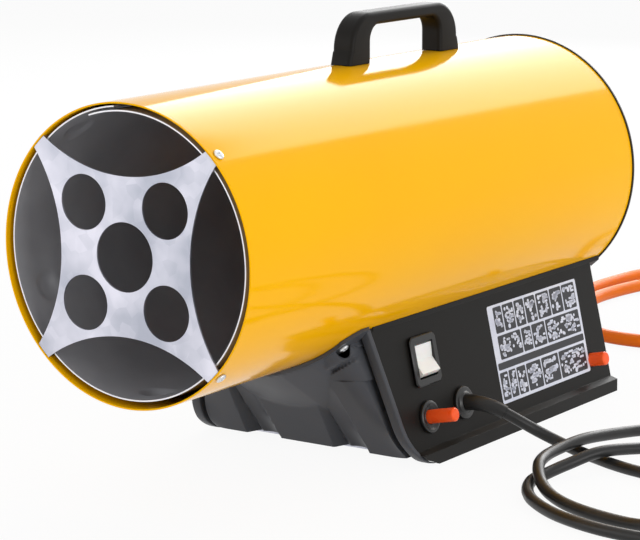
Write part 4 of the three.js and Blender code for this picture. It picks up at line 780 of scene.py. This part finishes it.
def blade(start):
    """One fan blade: twisted and cambered sheet, its rows running out from the hub."""
    rows = []
    for i in range(15):
        share = i / 14
        radius = BLADE_FOOT + (FAN_RADIUS - BLADE_FOOT) * share
        chord = FAN_RADIUS * (BLADE_CHORD + BLADE_SWELL * math.sin(math.pi * (0.25 + 0.45 * share)))
        pitch = math.radians(BLADE_PITCH - BLADE_TWIST * share)
        faces = []
        for side in (-BLADE_HALF_SHEET, BLADE_HALF_SHEET):
            face = []
            for j in range(15):
                along = j / 14 - 0.5
                lead = chord * along * math.cos(pitch) + FAN_RADIUS * BLADE_SWEEP * share
                camber = FAN_RADIUS * BLADE_CAMBER * (1 - 4 * along * along)
                t = start + lead / radius
                y = FAN_Y + 12 + chord * along * math.sin(pitch) + camber + side
                face.append((radius * math.cos(t), y, AXIS_HEIGHT + radius * math.sin(t)))
            faces.append(face)
        rows.append(faces[0] + faces[1][::-1])
    return (*skin(rows, capped=True), HERE)


hub_profile = [(3.3, FAN_Y), (16, FAN_Y), (19, FAN_Y + 1.5), (20, FAN_Y + 4), (20, FAN_Y + 24),
               (3.3, FAN_Y + 24)]
hub = (*turned(hub_profile, closed=True), BARREL)
fan = shape("fan_wheel", [hub] + [blade(t) for t in turn(FAN_BLADES)])
dress(fan, cast, ["axial_fan"], body="fan_rotor")

MOTOR_SCREW_X = (22, -22)
motor_profile = [(0, MOTOR_FRONT + 11), (3.5, MOTOR_FRONT + 11), (3.5, MOTOR_FRONT), (8, MOTOR_FRONT),
                 (8, MOTOR_FRONT + 6.8), (24.5, MOTOR_FRONT + 8.8), (30, MOTOR_FRONT + 12),
                 (32.5, MOTOR_FRONT + 15), (32.5, MOTOR_FRONT + 19), (34, MOTOR_FRONT + 19),
                 (34, MOTOR_REAR - 17.7), (32.5, MOTOR_REAR - 17.7), (32.5, MOTOR_REAR - 6),
                 (31, MOTOR_REAR - 2.5), (27.2, MOTOR_REAR), (0, MOTOR_REAR)]


def motor_screw_bores(name, low, high):
    """A tool that bores both motor screws' holes, between two places behind the motor's rear face."""
    return shape(name, [(*rod(SCREW_SHANK + FIT, MOTOR_REAR + low, MOTOR_REAR + high, 20, (x, 0)), BARREL)
                        for x in reversed(MOTOR_SCREW_X)])


motor = shape("motor_can", [(*turned(motor_profile), BARREL)])
dress(carve(motor, [motor_screw_bores("motor_bores", -10, 1)]), motor_enamel, ["fan_motor"])

GUARD_Y = CASING_REAR - 2
GUARD_WIRE = 1.3
GUARD_PLATE = 30
GUARD_RINGS = 4
GUARD_SPOKES = 6
GUARD_OUTER = CASING_BORE - FIT - TRIM_LIP - FIT - GUARD_WIRE
guard_parts = []
for i in range(GUARD_RINGS):
    middle = GUARD_OUTER - i * (GUARD_OUTER - GUARD_PLATE) / GUARD_RINGS
    wire = [(middle + GUARD_WIRE * math.cos(t), GUARD_Y + GUARD_WIRE * math.sin(t)) for t in turn(12)]
    guard_parts.append((*turned(wire, 144, closed=True), BARREL))
for i in range(GUARD_SPOKES):
    t = 2 * math.pi * (i + 0.5) / GUARD_SPOKES
    spoke = rod(GUARD_WIRE, GUARD_PLATE - 4, GUARD_OUTER, 12)
    guard_parts.append((*spoke, on_casing(t, MOTOR_REAR + 1.6)))
plate_profile = [(0, MOTOR_REAR + 0.3), (29.6, MOTOR_REAR + 0.3), (GUARD_PLATE, MOTOR_REAR + 0.7),
                 (GUARD_PLATE, MOTOR_REAR + 1.9), (29.6, MOTOR_REAR + 2.3), (0, MOTOR_REAR + 2.3)]
plate = shape("guard_plate", [(*turned(plate_profile, 96), BARREL)])
dress(carve(plate, [motor_screw_bores("plate_bores", -1, 5)]), galvanised)
dress(shape("guard_wires", guard_parts), galvanised, ["rear_guard"])
for i, x in enumerate(MOTOR_SCREW_X):
    place = placed((x, 0, AXIS_HEIGHT), (0, 1, 0))
    parts = [screw_parts(MOTOR_REAR + 2.6, MOTOR_REAR - 8, place)]
    dress(shape(f"motor_screw_head_{i + 1}", parts, crisp=50), zinc, [f"motor_screw_{i + 1}"])
ring_profile = [(102, CASING_REAR - 5), (103.5, CASING_REAR - 5), (103.5, CASING_REAR + FIT),
                (106.2, CASING_REAR + FIT), (106.2, CASING_REAR + 1.8), (105.8, CASING_REAR + 2.6),
                (105, CASING_REAR + 3), (102.4, CASING_REAR + 3), (102, CASING_REAR + 2.6)]
dress(shape("rear_trim", [(*turned(ring_profile, 192, closed=True), BARREL)]), flex_pvc, ["rear_ring"])

# ---------------------------------------------------------------- controls on the panel
IGNITER_AT = (-131.5, 33.7)
GAS_BUTTON_AT = (118, 29.7)
GLAND_AT = (-83, 34.5)
BUTTON_SOFT = 1.6


def button(name, spot, radius, skirt, proud, stands_for, body, stem=None):
    """A push button with a rounded end; a stem is its (radius, length inside the panel)."""
    bend = arc((0, 0), BUTTON_SOFT, 0, 90, 8)
    end = [(radius - BUTTON_SOFT + u, proud - BUTTON_SOFT + v) for u, v in bend]
    profile = [(0, -skirt), (radius, -skirt)] + end + [(0, proud)]
    if stem:
        profile = [(0, -stem[1]), (stem[0], -stem[1]), (stem[0], -skirt)] + profile[1:]
    made = shape(name, [(*turned(profile, 64), on_panel(*spot))], crisp=50)
    dress(made, red_acetal, [stands_for], body)


button("igniter_push", IGNITER_AT, 5.2, 12, 24.5, "igniter_button", "igniter_plunger")
button("gas_push", GAS_BUTTON_AT, 5.5, 6, 14, "gas_button", "gas_plunger", stem=(2.4, 22))
collar_profile = [(5.7, -3), (9.4, -3), (9.4, FIT), (12.3, FIT), (12.3, 1.9), (11.9, 2.7), (10.9, 3.25),
                  (10, 3.3), (8.2, 1.5), (6.4, 1.2), (5.7, 1.6)]
collar = shape("igniter_bush", [(*turned(collar_profile, 96, closed=True), on_panel(*IGNITER_AT))])
dress(collar, black_nylon, ["igniter_collar"])
gland_profile = [(0, -9), (8, -9), (8, FIT), (12.5, FIT), (12.5, 2.4), (12, 3), (11, 3.3), (9.4, 3.3),
                 (8.4, 3.6), (7.6, 4.5), (7.2, 4.8), (0, 4.8)]
gland = shape("gland_bush", [(*turned(gland_profile, 96), on_panel(*GLAND_AT))])
dress(gland, black_nylon, ["cable_gland"])

# ---------------------------------------------------------------- panel label: bare film, blank cells
LABEL_AT = (-26.2, 21.7)
LABEL_LONG = 139.6
LABEL_UP = 76.5
LAYER = 0.06  # the film, its ink and its marks lie this much above each other


def label_shape(name, outlines, material, lift):
    """Thin flat figures on the panel, in (along, up) mm of the label, lifted off the panel."""
    parts = []
    for outline in outlines:
        rows = [[(u, v, z) for u, v in outline] for z in (lift - LAYER, lift)]
        parts.append((*skin(rows, capped=True), on_panel(*LABEL_AT)))
    dress(shape(name, parts), material)


def cell(u0, v0, u1, v1, corner=1.2):
    """A rectangle with rounded corners."""
    corners = ((u1 - corner, v1 - corner), (u0 + corner, v1 - corner), (u0 + corner, v0 + corner),
               (u1 - corner, v0 + corner))
    return [p for i, at in enumerate(corners) for p in arc(at, corner, 90 * i, 90 * i + 90, 4)]


label_shape("label_film", [cell(0, 0, LABEL_LONG, LABEL_UP, 2)], silver_film, 0.12)
chance = random.Random(7)
cells = [(2, 26, LABEL_LONG - 2, 31.5)]
for low, high, across in ((2.5, 24, [2, 15, 27, 42, 66, 94, 137.6]), (33.5, 52, [8, 44, 60, 82, 137.6]),
                          (54, 74.5, [8, 22, 40, 56, 74, 96, 116, 137.6])):
    cells += [(left, low, right - 1.6, high) for left, right in zip(across, across[1:])]
label_shape("label_cells", [cell(*c) for c in cells], label_ink, 0.18)
marks = []
for u0, v0, u1, v1 in cells[1:]:
    for _ in range(int((u1 - u0) * (v1 - v0) / 16)):
        u = chance.uniform(u0 + 2.5, u1 - 3.5)
        v = chance.uniform(v0 + 2.5, v1 - 3)
        if chance.random() < 0.55:
            marks.append(arc((u, v), chance.uniform(0.9, 2.1), 0, 345, 16))
        else:
            marks.append(cell(u, v, min(u + chance.uniform(3, 8), u1 - 1), v + 1.7, 0.6))
label_shape("label_marks", marks, silver_film, 0.24)

# ---------------------------------------------------------------- CAD nodes that are shown as they are
FINISHES = {
    "burner_bracket": galvanised, "burner_head": heated_steel_painted_light, "gas_nozzle": brass, "spark_electrode": ceramic,
    "thermocouple": brass, "overheat_thermostat": black_abs, "base_housing": black_abs,
    "base_plate": galvanised,
    "switch_bezel": black_nylon, "switch_body": black_nylon, "igniter_body": black_nylon,
    "gas_valve": cast, "burner_pipe": copper, "inlet_pipe": copper, "gas_inlet": brass, "hose_nut": brass,
    "inlet_ferrule": galvanised, "outlet_ferrule": galvanised, "regulator_body": cast,
    "strain_relief": flex_pvc, "plug_body": flex_pvc, "plug_pin_1": brass, "plug_pin_2": brass,
    "rocker": opal, "regulator_knob": red_acetal, "bottle_nut": brass,
}
for name, piece in node.items():
    if piece.hide_render:
        continue
    mesh = piece.data
    if "custom_normal" in mesh.attributes:
        mesh.attributes.remove(mesh.attributes["custom_normal"])
    mesh.materials.clear()
    mesh.materials.append(FINISHES.get(name, zinc))
    mesh.polygons.foreach_set("use_smooth", [True] * len(mesh.polygons))
    weld = piece.modifiers.new("weld", "WELD")
    weld.merge_threshold = 0.02 * MM
    split = piece.modifiers.new("crisp_edges", "EDGE_SPLIT")
    split.split_angle = math.radians(32)

# ---------------------------------------------------------------- studio
def backdrop_share(tree):
    """1 for the rays that show the backdrop: from the camera, and by way of gloss or glass."""
    rays = add(tree, "ShaderNodeLightPath")
    seen = add(tree, "ShaderNodeMath", {"operation": "MAXIMUM"}, _0=rays.outputs["Is Camera Ray"],
               _1=rays.outputs["Is Glossy Ray"])
    return add(tree, "ShaderNodeMath", {"operation": "MAXIMUM"}, _0=seen.outputs[0],
               _1=rays.outputs["Is Transmission Ray"]).outputs[0]


floor_data = bpy.data.meshes.new("studio_floor")
floor_data.from_pydata([(-9, -9, 0), (9, -9, 0), (9, 9, 0), (-9, 9, 0)], [], [(0, 1, 2, 3)])
floor = bpy.data.objects.new("studio_floor", floor_data)
bpy.context.scene.collection.objects.link(floor)
paper, tree, shader = finish("white_paper_sweep", "white_plastic", "#E8E8E8", 0.9, Specular_IOR_Level=0.1)
lift = add(tree, "ShaderNodeMath", {"operation": "MULTIPLY"}, _0=backdrop_share(tree), _1=0.93)
glow = add(tree, "ShaderNodeEmission", Color=(1, 1, 1, 1), Strength=1.0)
pale = add(tree, "ShaderNodeMixShader", _0=lift.outputs[0], _1=shader.outputs[0], _2=glow.outputs[0])
tree.links.new(pale.outputs[0], tree.nodes["Material Output"].inputs["Surface"])
floor_data.materials.append(paper)

world = bpy.data.worlds.new("studio")
bpy.context.scene.world = world
world.use_nodes = True
tree = world.node_tree
tree.nodes.clear()
soft = add(tree, "ShaderNodeBackground", Color=(1, 1, 1, 1), Strength=0.52)
white = add(tree, "ShaderNodeBackground", Color=(1, 1, 1, 1), Strength=1.0)
blend = add(tree, "ShaderNodeMixShader", _0=backdrop_share(tree), _1=soft.outputs[0], _2=white.outputs[0])
out = add(tree, "ShaderNodeOutputWorld")
tree.links.new(blend.outputs[0], out.inputs["Surface"])


def softbox(name, at, aim, width, height, watts):
    """A rectangular area lamp facing a point, not seen by the camera."""
    data = bpy.data.lights.new(name, "AREA")
    data.shape = "RECTANGLE"
    data.size = width
    data.size_y = height
    data.energy = watts
    lamp = bpy.data.objects.new(name, data)
    lamp.location = at
    lamp.rotation_mode = "QUATERNION"
    lamp.rotation_quaternion = (Vector(aim) - Vector(at)).to_track_quat("-Z", "Y")
    lamp.visible_camera = False
    bpy.context.scene.collection.objects.link(lamp)


softbox("overhead", (0.3, -0.3, 2.2), (0, 0, 0.2), 2.4, 2.4, 5)
softbox("front_left", (-1.2, -2.2, 0.8), (0, -0.2, 0.2), 2.4, 1.4, 15)
softbox("right_side", (2.6, -0.5, 0.55), (0, 0, 0.15), 2.0, 1.0, 27)
softbox("back_sheen", (-0.5, 2.3, 1.28), (0, -0.1, 0.2), 2.3, 1.8, 58)

bpy.context.scene.view_settings.view_transform = "Standard"
